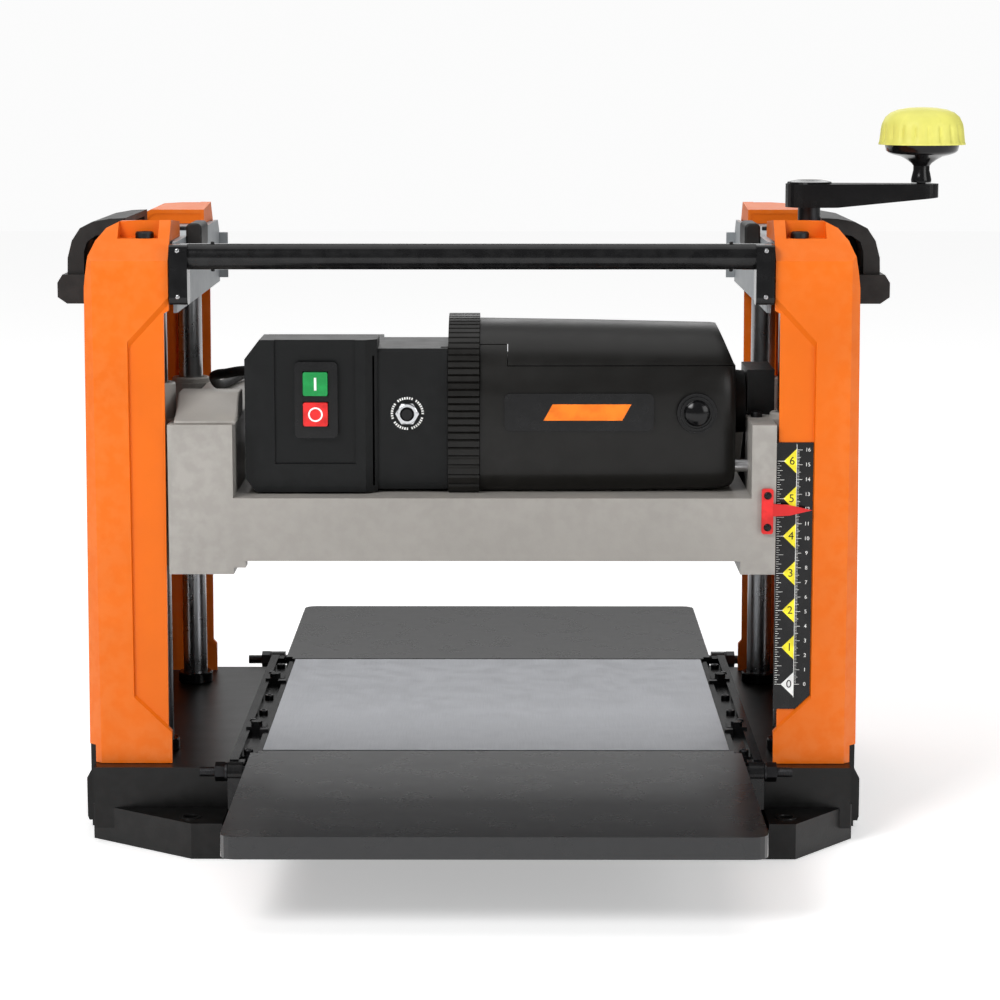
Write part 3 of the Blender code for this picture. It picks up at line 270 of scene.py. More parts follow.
def make_materials():
    made = {
        "orange": painted("orange paint", (0.84, 0.155, 0.001), 0.42, (0.95, 0.42, 0.16), 0.02),
        "cast": painted("base enamel", (0.0035, 0.0034, 0.0033), 0.3, BLACK_WORN, 0.05, 1.8),
        "head": painted("head enamel", (0.36, 0.34, 0.315), 0.4, (0.72, 0.7, 0.66), 0.05, 1.3),
        "plate": painted("grey plate paint", (0.34, 0.365, 0.385), 0.4, (0.7, 0.7, 0.7), 0.03, 1.5),
        "gloss black": painted("gloss black paint", (0.006, 0.006, 0.0065), 0.15, BLACK_WORN, 0.012, 2.5),
        "plastic": moulded("black plastic", (0.0025, 0.003, 0.0033), 0.38),
        "motor plastic": moulded("motor plastic", (0.0062, 0.0057, 0.005), 0.34, 0.04),
        "rough plastic": moulded("handle plastic", (0.015, 0.0145, 0.014), 0.46, 0.09, 1.1),
        "gloss plastic": moulded("glossy black plastic", (0.005, 0.005, 0.0055), 0.14, 0.006, 2),
        "red": moulded("red plastic", (0.64, 0.022, 0.022), 0.3, 0.012, 1.5),
        "green": moulded("green plastic", (0.012, 0.26, 0.062), 0.3, 0.012, 1.5),
        "lime": moulded("pale knob plastic", (0.74, 0.71, 0.16), 0.42, 0.03, 1),
        "rubber": moulded("black rubber", (0.008, 0.008, 0.008), 0.55, 0.05, 0.9),
        "bed": metal("ground bed steel", (0.46, 0.47, 0.50), 0.3, (1, 60, 1), 0.5, 0.002, 0.07),
        "table": painted("table enamel", (0.0095, 0.01, 0.0115), 0.26, (0.03, 0.03, 0.03), 0.008, 2.2),
        "post": metal("oiled post steel", (0.36, 0.365, 0.375), 0.27, (1, 1, 40), 0.6, 0.001, 0.08),
        "chrome": metal("chromed steel", (0.66, 0.67, 0.69), 0.1, (1, 1, 1), 3, 0.001, 0.1),
        "bright": metal("bright steel", (0.5, 0.5, 0.51), 0.25, (1, 1, 30), 0.5),
        "dark steel": metal("blackened steel", (0.04, 0.04, 0.042), 0.36, (1, 1, 1), 1.2, 0.01),
        "knife": metal("knife steel", (0.6, 0.6, 0.62), 0.2, (60, 1, 1), 0.4),
        "white print": moulded("white print", (0.8, 0.8, 0.78), 0.4, 0.004, 1.5),
        "yellow print": moulded("yellow print", (0.83, 0.72, 0.03), 0.4, 0.004, 1.5),
        "orange print": moulded("orange print", (0.85, 0.18, 0.01), 0.4, 0.004, 1.5),
    }
    made["orange"].coat(0.06, 0.2)
    made["table"].coat(0.55, 0.14)
    made["plate"].dust((0.5, 0.45, 0.36), 0.2)
    made["head"].dust((0.6, 0.55, 0.45), 0.2)
    return {key: material.made for key, material in made.items()}


LOOKS = make_materials()


# ---------------------------------------------------------------- meshes

def point_on(axis, along, u, v):
    if axis == "x":
        return (along, u, v)
    if axis == "y":
        return (u, along, v)
    return (u, v, along)


def mesh_from(bm):
    bmesh.ops.scale(bm, vec=(MM, MM, MM), verts=bm.verts)
    bmesh.ops.recalc_face_normals(bm, faces=bm.faces)
    mesh = bpy.data.meshes.new("solid")
    bm.to_mesh(mesh)
    bm.free()
    return mesh


def skin(rings, closed=False):
    """A solid through rings of points, with flat ends, or joined end to end when closed."""
    bm = bmesh.new()
    rows = [[bm.verts.new(point) for point in ring] for ring in rings]
    count = len(rows[0])
    pairs = list(zip(rows, rows[1:]))
    if closed:
        pairs.append((rows[-1], rows[0]))
    for low, high in pairs:
        for i in range(count):
            j = (i + 1) % count
            bm.faces.new((low[i], low[j], high[j], high[i]))
    if not closed:
        bm.faces.new(rows[0][::-1])
        bm.faces.new(rows[-1])
    return mesh_from(bm)


def prism(axis, outline, low, high):
    return skin([[point_on(axis, along, u, v) for u, v in outline] for along in (low, high)])


def box(x, y, z):
    x, y, z = sorted(x), sorted(y), sorted(z)
    return prism("z", [(x[0], y[0]), (x[1], y[0]), (x[1], y[1]), (x[0], y[1])], z[0], z[1])


def circle(centre, radius, sides=48, start=0.0):
    turns = [start + 2 * math.pi * i / sides for i in range(sides)]
    return [(centre[0] + radius * math.cos(t), centre[1] + radius * math.sin(t)) for t in turns]


def turned(axis, centre, stations, sides=64, closed=False):
    """A turned solid from (place along the axis, radius) stations."""
    rings = []
    for along, radius in stations:
        rings.append([point_on(axis, along, u, v) for u, v in circle(centre, radius, sides)])
    return skin(rings, closed)


def hollow_turned(axis, centre, stations, sides=64):
    """A turned ring whose section is the closed loop of stations."""
    return turned(axis, centre, stations, sides, closed=True)


def rounded_rectangle(u, v, radius, steps=6):
    corners = [
        (u[1] - radius, v[1] - radius, 0),
        (u[0] + radius, v[1] - radius, 1),
        (u[0] + radius, v[0] + radius, 2),
        (u[1] - radius, v[0] + radius, 3),
    ]
    outline = []
    for cu, cv, quarter in corners:
        for i in range(steps + 1):
            turn = math.pi / 2 * (quarter + i / steps)
            outline.append((cu + radius * math.cos(turn), cv + radius * math.sin(turn)))
    return outline


def tube(path, radius, sides=16):
    """A round tube along a path of points, without twist."""
    rings = []
    side = None
    for i, here in enumerate(path):
        before, after = path[max(i - 1, 0)], path[min(i + 1, len(path) - 1)]
        ahead = (Vector(after) - Vector(before)).normalized()
        if side is None:
            side = ahead.orthogonal().normalized()
        side = (side - ahead * side.dot(ahead)).normalized()
        other = ahead.cross(side)
        round_it = circle((0, 0), radius, sides)
        rings.append([tuple(Vector(here) + side * u + other * v) for u, v in round_it])
    return skin(rings)


def smooth_path(points, steps=8):
    """A Catmull-Rom curve through the points."""
    points = [Vector(p) for p in points]
    padded = [points[0], *points, points[-1]]
    path = []
    for a, b, c, d in zip(padded, padded[1:], padded[2:], padded[3:]):
        for i in range(steps):
            t = i / steps
            bend = 2 * a - 5 * b + 4 * c - d
            twist = 3 * b - a - 3 * c + d
            path.append(0.5 * (2 * b + (c - a) * t + bend * t**2 + twist * t**3))
    path.append(points[-1])
    return [tuple(p) for p in path]


def merged(*meshes):
    """One mesh that holds all of these, not joined where they touch."""
    bm = bmesh.new()
    for mesh in meshes:
        bm.from_mesh(mesh)
    result = bpy.data.meshes.new("merged")
    bm.to_mesh(result)
    bm.free()
    return result


def combine(target, others, operation):
    held = bpy.data.objects.new("held", target)
    bpy.context.scene.collection.objects.link(held)
    tools = []
    for other in others:
        tool = bpy.data.objects.new("tool", other)
        bpy.context.scene.collection.objects.link(tool)
        tools.append(tool)
        modifier = held.modifiers.new("combine", "BOOLEAN")
        modifier.operation = operation
        modifier.solver = "EXACT"
        modifier.object = tool
    graph = bpy.context.evaluated_depsgraph_get()
    result = bpy.data.meshes.new_from_object(held.evaluated_get(graph))
    for extra in [held, *tools]:
        bpy.data.objects.remove(extra)
    return result


def cut(first, *others):
    return combine(first, others, "DIFFERENCE")


def joined(first, *others):
    return combine(first, others, "UNION")


def soften(thing, width, segments=2):
    """Rounds the sharp edges by this many millimetres."""
    bevel = thing.modifiers.new("soft edges", "BEVEL")
    bevel.width = width * MM
    bevel.segments = segments
    bevel.limit_method = "ANGLE"
    bevel.angle_limit = math.radians(32)
    bevel.harden_normals = False
    bevel.use_clamp_overlap = True


def piece(name, mesh, look, body, edge=0.0, stands_for=()):
    """A visual piece: a smooth-shaded mesh with a material, riding on a CAD body."""
    for polygon in mesh.polygons:
        polygon.use_smooth = True
    mesh.set_sharp_from_angle(angle=SMOOTH_ANGLE)
    made = bpy.data.objects.new(name, mesh)
    bpy.context.scene.collection.objects.link(made)
    mesh.materials.clear()
    mesh.materials.append(LOOKS[look])
    if edge:
        soften(made, edge)
    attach(made, body)
    if stands_for:
        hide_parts(*stands_for)
    return made


def dress(name, look, edge=0.0, segments=2):
    """A CAD node shown as it is, with a material and softened edges."""
    node = nodes[name]
    node.data.materials.clear()
    node.data.materials.append(LOOKS[look])
    if edge:
        soften(node, edge, segments)
    return node


def split_place(at, axis):
    """(place along the axis, the two other coordinates) of a point."""
    if axis == "x":
        return at[0], at[1:]
    if axis == "y":
        return at[1], (at[0], at[2])
    return at[2], at[:2]


def socket_screw(at, axis, radius, height, faces_low=True):
    """A cap screw with a hexagon socket. faces_low: its head looks towards the axis's low end."""
    base, centre = split_place(at, axis)
    sign = -1 if faces_low else 1
    top = base + sign * height
    rings = [(base, radius), (top - sign * radius * 0.18, radius), (top, radius * 0.84)]
    head = turned(axis, centre, rings, 32)
    reach = sorted((top + sign * 2, top - sign * height * 0.6))
    socket = prism(axis, circle(centre, radius * 0.48, 6), *reach)
    return cut(head, socket)


def cross_screw(at, axis, radius, height, faces_low=True):
    """A pan-head screw with a crossed recess."""
    base, centre = split_place(at, axis)
    sign = -1 if faces_low else 1
    rings = [(base, radius)]
    for i in range(1, 5):
        turn = math.pi / 2 * i / 5
        rings.append((base + sign * height * math.sin(turn), radius * (0.35 + 0.65 * math.cos(turn))))
    head = turned(axis, centre, rings, 32)
    top = base + sign * height
    span, width = radius * 0.55, radius * 0.14
    reach = sorted((top + sign * 2, top - sign * height * 0.5))
    corners = ((-1, -1), (1, -1), (1, 1), (-1, 1))
    slots = []
    for du, dv in ((span, width), (width, span)):
        outline = [(centre[0] + a * du, centre[1] + b * dv) for a, b in corners]
        slots.append(prism(axis, outline, *reach))
    return cut(head, *slots)


def lettering(text, size, at):
    """Flat digits facing the operator, standing at (x, y, z)."""
    curve = bpy.data.curves.new("digits", "FONT")
    curve.body = text
    curve.size = size
    curve.extrude = 0.04
    curve.align_x = "CENTER"
    curve.align_y = "CENTER"
    writer = bpy.data.objects.new("writer", curve)
    bpy.context.scene.collection.objects.link(writer)
    graph = bpy.context.evaluated_depsgraph_get()
    flat = bpy.data.meshes.new_from_object(writer.evaluated_get(graph))
    bpy.data.objects.remove(writer)
    for vertex in flat.vertices:
        x, y, z = vertex.co
        vertex.co = ((at[0] + x) * MM, (at[1] - z) * MM, (at[2] + y) * MM)
    return flat


# ---------------------------------------------------------------- base, bed and tables

def base_details():
    dress("base", "cast", 1.4, 3)
    # A raised rim round each bolt hole in the foot.
    low, high = FOOT_TOP_Z, FOOT_TOP_Z + 0.8
    rim = [(low, 7.2), (high, 7), (high, 5), (low, 4.8)]
    rims = []
    for x in FOOT_HOLES_X:
        for end in (-1, 1):
            rims.append(hollow_turned("z", (x, end * FOOT_HOLE_Y), rim, 40))
    piece("foot_rims", merged(*rims), "cast", "frame")


def threaded_rod(axis, centre, radius, low, high, pitch, sides=20):
    """A rod with a helical ridge."""
    turns = int((high - low) / pitch)
    rings = []
    per_turn = 4
    for step in range(turns * per_turn + 1):
        along = low + step * pitch / per_turn
        ring = []
        for i in range(sides):
            phase = (step / per_turn + i / sides) % 1.0
            depth = abs(phase - 0.5) * 2
            turn = 2 * math.pi * i / sides
            r = radius - depth * pitch * 0.3
            u, v = centre[0] + r * math.cos(turn), centre[1] + r * math.sin(turn)
            ring.append(point_on(axis, along, u, v))
        rings.append(ring)
    return skin(rings)


def hinge_bolt(centre, outer, side):
    """A table's hinge bolt: shank, washer, nut and threaded end, outwards from the table."""

    def reach(near, far):
        return sorted((outer + side * near, outer + side * far))

    inner = TABLE_CENTRE_X + side * (TABLE_HALF - 1.5)
    shank_ends = sorted((inner, outer + side * 8.3))
    stud = threaded_rod("x", centre, 3.5, *reach(8, 19), 1.1)
    shank = turned("x", centre, [(x, 3.5) for x in shank_ends])
    nut = prism("x", circle(centre, 6.6, 6, 0.3), *reach(2.1, 8.5))
    washer = turned("x", centre, [(x, 6.4) for x in reach(0.35, 2)])
    return merged(stud, shank, nut, washer)


def hinge_details():
    for side, label in ((-1, "left"), (1, "right")):
        dress(f"side_rail_{label}", "gloss black", 0.5)
        outer = TABLE_CENTRE_X + side * RAIL_HALF
        for end, table in ((-1, "infeed"), (1, "outfeed")):
            whole = hinge_bolt((end * FOLD_Y, FOLD_Z), outer, side)
            name = f"hinge_bolt_{table}_{label}"
            piece(f"{name}_detail", whole, "dark steel", "frame", 0.3, (name,))
        details = []
        rail_x = TABLE_CENTRE_X + side * 169.2
        for y in (-140, -20, 30, 140):
            details.append(socket_screw((rail_x, y, 56.2), "z", 3.2, 3, False))
        for y in (-75, 85):
            # Clamp finger from each block towards the bed, and the adjuster that presses it.
            finger_x = TABLE_CENTRE_X + side * 163
            details.append(box((finger_x - 3, finger_x + 3), (y - 14, y - 9), (56, 61)))
            details.append(turned("y", (rail_x + side * 4, 58), [(y + 8, 2.6), (y + 17, 2.6)], 24))
            details.append(turned("y", (rail_x + side * 4, 58), [(y + 17, 3.6), (y + 20, 3.6)], 6))
        piece(f"rail_fittings_{label}", merged(*details), "dark steel", "frame", 0.25)


def table_details():
    dress("bed_plate", "bed", 0.5)
    boss = [(47.2, 5), (50, 6), (58.5, 6)]
    for end, name in ((-1, "infeed_table"), (1, "outfeed_table")):
        dress(name, "table", 1.6, 4)
        # The bright ground edge of each table where it meets the bed.
        across = (TABLE_CENTRE_X - TABLE_HALF, TABLE_CENTRE_X + TABLE_HALF)
        y = end * TABLE_EDGE_Y
        strip = box(across, (y, y - end * 0.25), (58.6, 60.6))
        piece(f"{name}_ground_edge", strip, "knife", name)
        bosses = []
        for x in (-130, 130):
            for out in (250, 330):
                bosses.append(turned("z", (TABLE_CENTRE_X + x, end * out), boss, 32))
        piece(f"{name}_bosses", merged(*bosses), "table", name)


# ---------------------------------------------------------------- columns

def column_details():
    screws, bright = [], []
    for label, side in (("left", -1), ("right", 1)):
        for row, end in (("front", -1), ("rear", 1)):
            dress(f"column_cover_{row}_{label}", "orange", 1.1, 3)
            # The screw that stands in the notch of the cover's leaning top.
            notch = (side * 218.6, end * 132.2, 407.1)
            screws.append(socket_screw(notch, "z", 6.2, 4.4, False))
        dress(f"side_panel_{label}", "plastic", 0.5)
        dress(f"top_frame_{label}", "plate", 0.5)
        dress(f"carry_handle_{label}", "rough plastic", 1.5, 3)
        dress(f"crossbar_bracket_{label}", "gloss plastic", 1.2, 3)
        for z in (369.5, 400):
            bright.append(cross_screw((side * 194.5, -155.8, z), "y", 1.6, 0.9, True))
        for y in (-100, 0, 100):
            screws.append(socket_screw((side * 208, y, FRAME_TOP_Z), "z", 3.2, 2.6, False))
        for y, z in ((-66, 80), (66, 80), (-66, 340), (66, 340)):
            screws.append(cross_screw((side * 253, y, z), "x", 3, 1.5, side < 0))
        outline = rounded_rectangle(sorted((side * 186, side * 196.7)), (396, 414), 3.5)
        stop = prism("y", outline, -82, -40)
        piece(f"frame_stop_{label}", stop, "rough plastic", "frame", 1.2)
    piece("column_screws", merged(*screws), "dark steel", "frame")
    piece("bracket_screws", merged(*bright), "bright", "frame")


def post_details():
    foot, bore = POST_FOOT_Z, POST_RADIUS + 0.3
    collar = [(foot, bore), (foot, 12.4), (foot + 0.6, 13), (foot + 7.1, 13)]
    collar += [(foot + 8, 12.2), (foot + 8, bore)]
    collars = []
    for label, side in (("left", -1), ("right", 1)):
        for row, end in (("front", -1), ("rear", 1)):
            centre = (side * POST_X, end * POST_Y)
            collars.append(hollow_turned("z", centre, collar))
            name = f"guide_post_{row}_{label}"
            post = turned("z", centre, [(POST_FOOT_Z, POST_RADIUS), (POST_TOP_Z, POST_RADIUS)])
            piece(f"{name}_round", post, "post", "frame", 0, (name,))
    piece("post_collars", merged(*collars), "gloss plastic", "frame")


def crossbar_details():
    end = CROSSBAR_HALF
    bar = hollow_turned("x", CROSSBAR, [(-end, 8.65), (end, 8.65), (end, 6.6), (-end, 6.6)], 72)
    pins = []
    for x in (-172, 172):
        centre = (x, CROSSBAR[0])
        for sign in (-1, 1):
            near, far = CROSSBAR[1] + sign * 8, CROSSBAR[1] + sign * 9.9
            pins.append(turned("z", centre, [(near, 1.3), (far - sign * 0.4, 1.3), (far, 0.8)], 20))
    piece("crossbar_round", merged(bar, *pins), "gloss black", "frame", 0, ("crossbar",))


def handle_details():
    for side, label in ((-1, "left"), (1, "right")):
        ribs = []
        for i in range(9):
            y = -48 + i * 12
            ribs.append(box((side * 288.3, side * 289.1), (y - 3, y + 3), (363.5, 371.5)))
        piece(f"handle_grip_{label}", merged(*ribs), "rough plastic", "frame", 0.4)


def sixteenth_length(sixteenth):
    """How long the scale's line is at this sixteenth of an inch."""
    if sixteenth == 8:
        return 4.6
    if sixteenth % 4 == 0:
        return 3.4
    return 2.4 if sixteenth % 2 == 0 else 1.5


def scale_details():
    """Printed inch and centimetre scale: half diamonds on the inches and a digit on each."""
    dress("depth_scale", "gloss plastic", 0.3)
    front = SCALE_FRONT_Y - 0.12
    back = SCALE_FRONT_Y + 0.02
    white, yellow, dark = [], [], []

    def mark(x, z, length, thick):
        return box((x, x + length), (front, back), (z - thick / 2, z + thick / 2))

    inches_x, centimetres_x = 204.4, SCALE_LINE_X + 0.4
    for inch in range(SCALE_INCHES + 1):
        z = SCALE_ZERO_Z + inch * INCH
        diamond = [(SCALE_LINE_X, z - 8.4), (SCALE_LINE_X, z + 8.4), (SCALE_LINE_X - 8.6, z)]
        (yellow if inch else white).append(prism("y", diamond, front + 0.04, back))
        dark.append(lettering(str(inch), 7.6, (SCALE_LINE_X - 3.1, front, z)))
        if inch < SCALE_INCHES:
            for sixteenth in range(1, 16):
                place = z + sixteenth * INCH / 16
                white.append(mark(inches_x, place, sixteenth_length(sixteenth), 0.22))
        white.append(mark(inches_x, z, 5.6, 0.3))
    for half in range(SCALE_HALF_CENTIMETRES + 1):
        z = SCALE_ZERO_Z + half * 5
        whole = half % 2 == 0
        white.append(mark(centimetres_x, z, 3.4 if whole else 2.2, 0.25))
        if whole:
            white.append(lettering(str(half // 2), 3.6, (SCALE_LINE_X + 7.4, front, z)))
        if whole and half < SCALE_HALF_CENTIMETRES:
            for millimetre in (1, 2, 3, 4, 6, 7, 8, 9):
                white.append(mark(centimetres_x, z + millimetre, 1.3, 0.16))
    white.append(box((SCALE_LINE_X - 0.15, SCALE_LINE_X + 0.15), (front, back), (98, 271)))
    piece("scale_white_print", merged(*white), "white print", "frame")
    piece("scale_yellow_print", merged(*yellow), "yellow print", "frame")
    piece("scale_dark_print", merged(*dark), "gloss plastic", "frame")


# ---------------------------------------------------------------- crank and lift

def crank_details():
    hub = (SCREW_X, SCREW_Y)
    dress("crank_arm", "gloss black", 0.9, 3)
    shaft = [(12, 6), (18, 6), (18, 10), (24, 10), (24, 6), (52.3, 6), (52.3, 10), (57, 10), (57, 6)]
    shaft += [(61, SCREW_RADIUS)]
    plain_end = [(395, SCREW_RADIUS), (412, SCREW_RADIUS)]
    crank_end = [(395, SCREW_RADIUS), (400, 5.5), (400, 7.7), (433.5, 7.7)]
    screws = (
        ("right", "crank", hub, crank_end),
        ("left", "screw_left", (-SCREW_X, SCREW_Y), plain_end),
    )
    for label, body, at, top in screws:
        name = f"leadscrew_{label}"
        thread = threaded_rod("z", at, SCREW_RADIUS, 60, 396, 2)
        whole = merged(turned("z", at, shaft), thread, turned("z", at, top))
        piece(f"{name}_thread", whole, "dark steel", body, 0, (name,))

    # The knob: each station is its height, its radius and how deep its flutes are there.
    centre = (KNOB_X, SCREW_Y)
    sides = KNOB_FLUTES * 6
    profile = [(467.1, 28.4, 0.0), (467.1, 29.7, 0.0), (467.8, 29.8, 0.2), (469, 29.3, 1.0)]
    profile += [(474, 28.7, 1.0), (478, 28.3, 1.0), (480.5, 27.8, 0.5), (482, 27.3, 0.0)]
    profile += [(486, 25.3, 0.0), (489, 21.7, 0.0), (491, 16.5, 0.0), (492.2, 9.5, 0.0), (492.5, 3, 0.0)]
    rings = []
    for z, radius, depth in profile:
        ring = []
        for i in range(sides):
            turn = 2 * math.pi * i / sides
            groove = max(0.0, math.cos(KNOB_FLUTES * turn)) ** 3
            r = radius - depth * 1.2 * groove
            ring.append((centre[0] + r * math.cos(turn), centre[1] + r * math.sin(turn), z))
        rings.append(ring)
    piece("knob_cap", skin(rings), "lime", "knob", 0, ("crank_knob",))
    under = [(441.1, 3.3), (441.1, 6.8), (443, 7), (446, 6.4), (449.5, 5.6), (452.5, 5.6), (454.5, 7.2)]
    under += [(457, 10.8), (458.9, 14.2), (460.2, 19.5), (461.5, 23), (463, 24.6), (467, 25.5), (467, 20)]
    under += [(470, 19), (470, 3.3)]
    piece("knob_body", hollow_turned("z", centre, under, 80), "gloss plastic", "knob")


# ---------------------------------------------------------------- head

def motor_section(height, scale=1.0, steps=40):
    """The motor's section: flat front, back and underside below a round top that rises this high."""
    rise = height - MOTOR_ROUND_FROM
    half = [(-46, -56), (-53, -51.5), (-MOTOR_HALF_DEPTH, -43)]
    for i in range(steps):
        turn = math.pi / 2 * i / steps
        half.append((-MOTOR_HALF_DEPTH * math.cos(turn), MOTOR_ROUND_FROM + rise * math.sin(turn)))
    points = half + [(0, height)] + [(-u, v) for u, v in half[::-1]]
    return [(MOTOR_Y + u * scale, MOTOR_Z + v * scale) for u, v in points]


def motor_shells():
    """Both halves of the motor's shell, with rounded ends, parted along the stepped seam."""
    stations = [(5, MOTOR_TOP, 1.0), (80, 57.0, 0.994), (163, 56.2, 0.976), (169, 56, 0.966)]
    stations += [(173.5, 55.8, 0.945), (176.3, 55.6, 0.915), (178, 55.4, 0.87)]
    rings = []
    for x, height, scale in stations:
        rings.append([(x, u, v) for u, v in motor_section(height, scale)])
    whole = skin(rings)
    seam = MOTOR_SEAM_Z
    step_x, step_z = MOTOR_SEAM_STEP
    length, depth = (0, 190), (-150, 0)
    below = joined(box(length, depth, (200, seam)), box((0, step_x), depth, (seam - 5, step_z)))
    step = box((0, step_x + 0.5), depth, (seam, step_z + 0.5))
    above = joined(box(length, depth, (200, seam + 0.5)), step)
    slope = prism("y", [(165, 350), (178.2, seam - 2), (190, seam - 2), (190, 350)], *depth)
    return cut(whole, above, slope), combine(whole, [below], "INTERSECT")


def reach_to(section, ahead):
    """How far the section's outline lies from the motor's axis in the direction ahead."""
    reach = 0.0
    for a, b in zip(section, section[1:] + section[:1]):
        a = Vector((a[0] - MOTOR_Y, a[1] - MOTOR_Z))
        edge = Vector((b[0] - MOTOR_Y, b[1] - MOTOR_Z)) - a
        across = ahead.x * edge.y - ahead.y * edge.x
        if abs(across) < 1e-9:
            continue
        share = (ahead.y * a.x - ahead.x * a.y) / across
        if 0 <= share <= 1:
            reach = max(reach, (a + edge * share).dot(ahead))
    return reach


def motor_collar():
    """The ribbed ring between the motor and the switch end."""
    section = motor_section(MOTOR_TOP)
    sides = COLLAR_RIBS * 6
    outline = []
    for i in range(sides):
        turn = 2 * math.pi * i / sides
        ahead = Vector((math.cos(turn), math.sin(turn)))
        groove = i % 6 == 0
        reach = reach_to(section, ahead) + (1.9 if groove else 3.2)
        outline.append((MOTOR_Y + reach * ahead.x, MOTOR_Z + reach * ahead.y))
    ring = skin([[(x, u, v) for u, v in outline] for x in (-16.4, 4.7)])
    inside = prism("x", motor_section(52, 0.92), -20, 10)
    return cut(ring, inside, box((-20, 10), (-150, 0), (200, BEAM_TOP_Z + 0.3)))


def motor_details():
    upper, lower = motor_shells()
    piece("motor_upper_shell_round", upper, "motor plastic", "head", 0, ("motor_upper_shell",))
    piece("motor_lower_shell_round", lower, "motor plastic", "head", 0, ("motor_lower_shell",))
    piece("motor_collar_ribbed", motor_collar(), "motor plastic", "head", 0, ("motor_collar",))
    barrel = turned("x", (-118, 328), [(-22, 4.2), (-21, 5.4), (-16.3, 5.4)], 40)
    piece("collar_screw_boss", barrel, "motor plastic", "head", 0.3)
    dress("label_plate", "gloss plastic", 0.5)
    dress("brush_cap", "gloss plastic", 0.3)
    rings = []
    for radius, front in ((13.7, -133.9), (11.4, -134.7)):
        back = -132.6
        loop = [(back, radius), (front, radius - 0.3), (front, radius - 1.1), (back, radius - 1.2)]
        rings.append(hollow_turned("y", BRUSH_CAP, loop))
    dome = [(-138, 0.6), (-137.8, 3.4), (-137.1, 6), (-136, 7.8), (-134.4, 8.4)]
    piece("brush_cap_dome", turned("y", BRUSH_CAP, dome, 56), "gloss plastic", "head")
    piece("brush_cap_rim", merged(*rings), "gloss plastic", "head")
    stripe = [(48, 284.5), (101, 284.5), (107, 295.5), (54, 295.5)]
    piece("label_stripe", prism("y", stripe, -133.55, -133.3), "orange print", "head")
    boss = [(174.5, 24), (178.6, 23.2), (181, 22), (187.3, 21.4)]
    piece("motor_end_boss", turned("x", (MOTOR_Y, MOTOR_Z), boss, 72), "motor plastic", "head", 0.5)
    spacer = turned("x", (-118, 252), [(171, 4.3), (187.4, 4.3)], 32)
    piece("motor_spacer", spacer, "bright", "head", 0.3)


def switch_details():
    dress("switch_housing", "plastic", 1.8, 3)
    dress("switch_bezel", "gloss plastic", 0.8, 3)
    dress("on_button", "green", 0.9, 3)
    dress("off_button", "red", 0.9, 3)
    dress("breaker_bezel", "chrome", 0.4)
    dress("reset_button", "gloss plastic", 0.3)
    bar = box((-106, -104.4), BUTTON_MARK_Y, (305.5, 314.1))
    piece("on_mark", bar, "white print", "on_button")
    front, back = BUTTON_MARK_Y
    loop = [(front, 4.9), (front, 3.8), (back, 3.8), (back, 4.9)]
    ring = hollow_turned("y", (-105.2, 289.25), loop, 48)
    piece("off_mark", ring, "white print", "off_button")

    # A ring of ticks round the breaker in place of its lettering.
    ticks = []
    for i in range(BREAKER_TICKS):
        turn = 2 * math.pi * i / BREAKER_TICKS
        if i % 8 == 7:
            continue
        outline = []
        for r, half in ((9.6, -0.045), (9.6, 0.045), (11.2, 0.04), (11.2, -0.04)):
            a = turn + half
            outline.append((BREAKER[0] + r * math.cos(a), BREAKER[1] + r * math.sin(a)))
        ticks.append(prism("y", outline, -127.06, -126.0))
    piece("breaker_ticks", merged(*ticks), "white print", "head")
    threads = []
    for y in (-131.2, -130.6, -130.0):
        loop = [(y, 6.9), (y - 0.2, 6.6), (y - 0.2, 6.0), (y, 6.0)]
        threads.append(hollow_turned("y", BREAKER, loop, 40))
    piece("breaker_thread", merged(*threads), "chrome", "head")

    # The mains cable, out of the housing's rear, along the head and down behind it.
    path = [(-157.5, -60, 310.5), (-165, -56, 309.5), (-174, -46, 307), (-182, -30, 304.5)]
    path += [(-187, -6, 300), (-188, 25, 292), (-186, 55, 288.2), (-180, 104, 288.4)]
    path += [(-174, 132, 289.5), (-172.5, 142, 281), (-172, 144, 262), (-172, 144, 236)]
    cable = tube(smooth_path(path), CABLE_RADIUS)
    piece("power_cable_round", cable, "rubber", "head", 0, ("power_cable",))


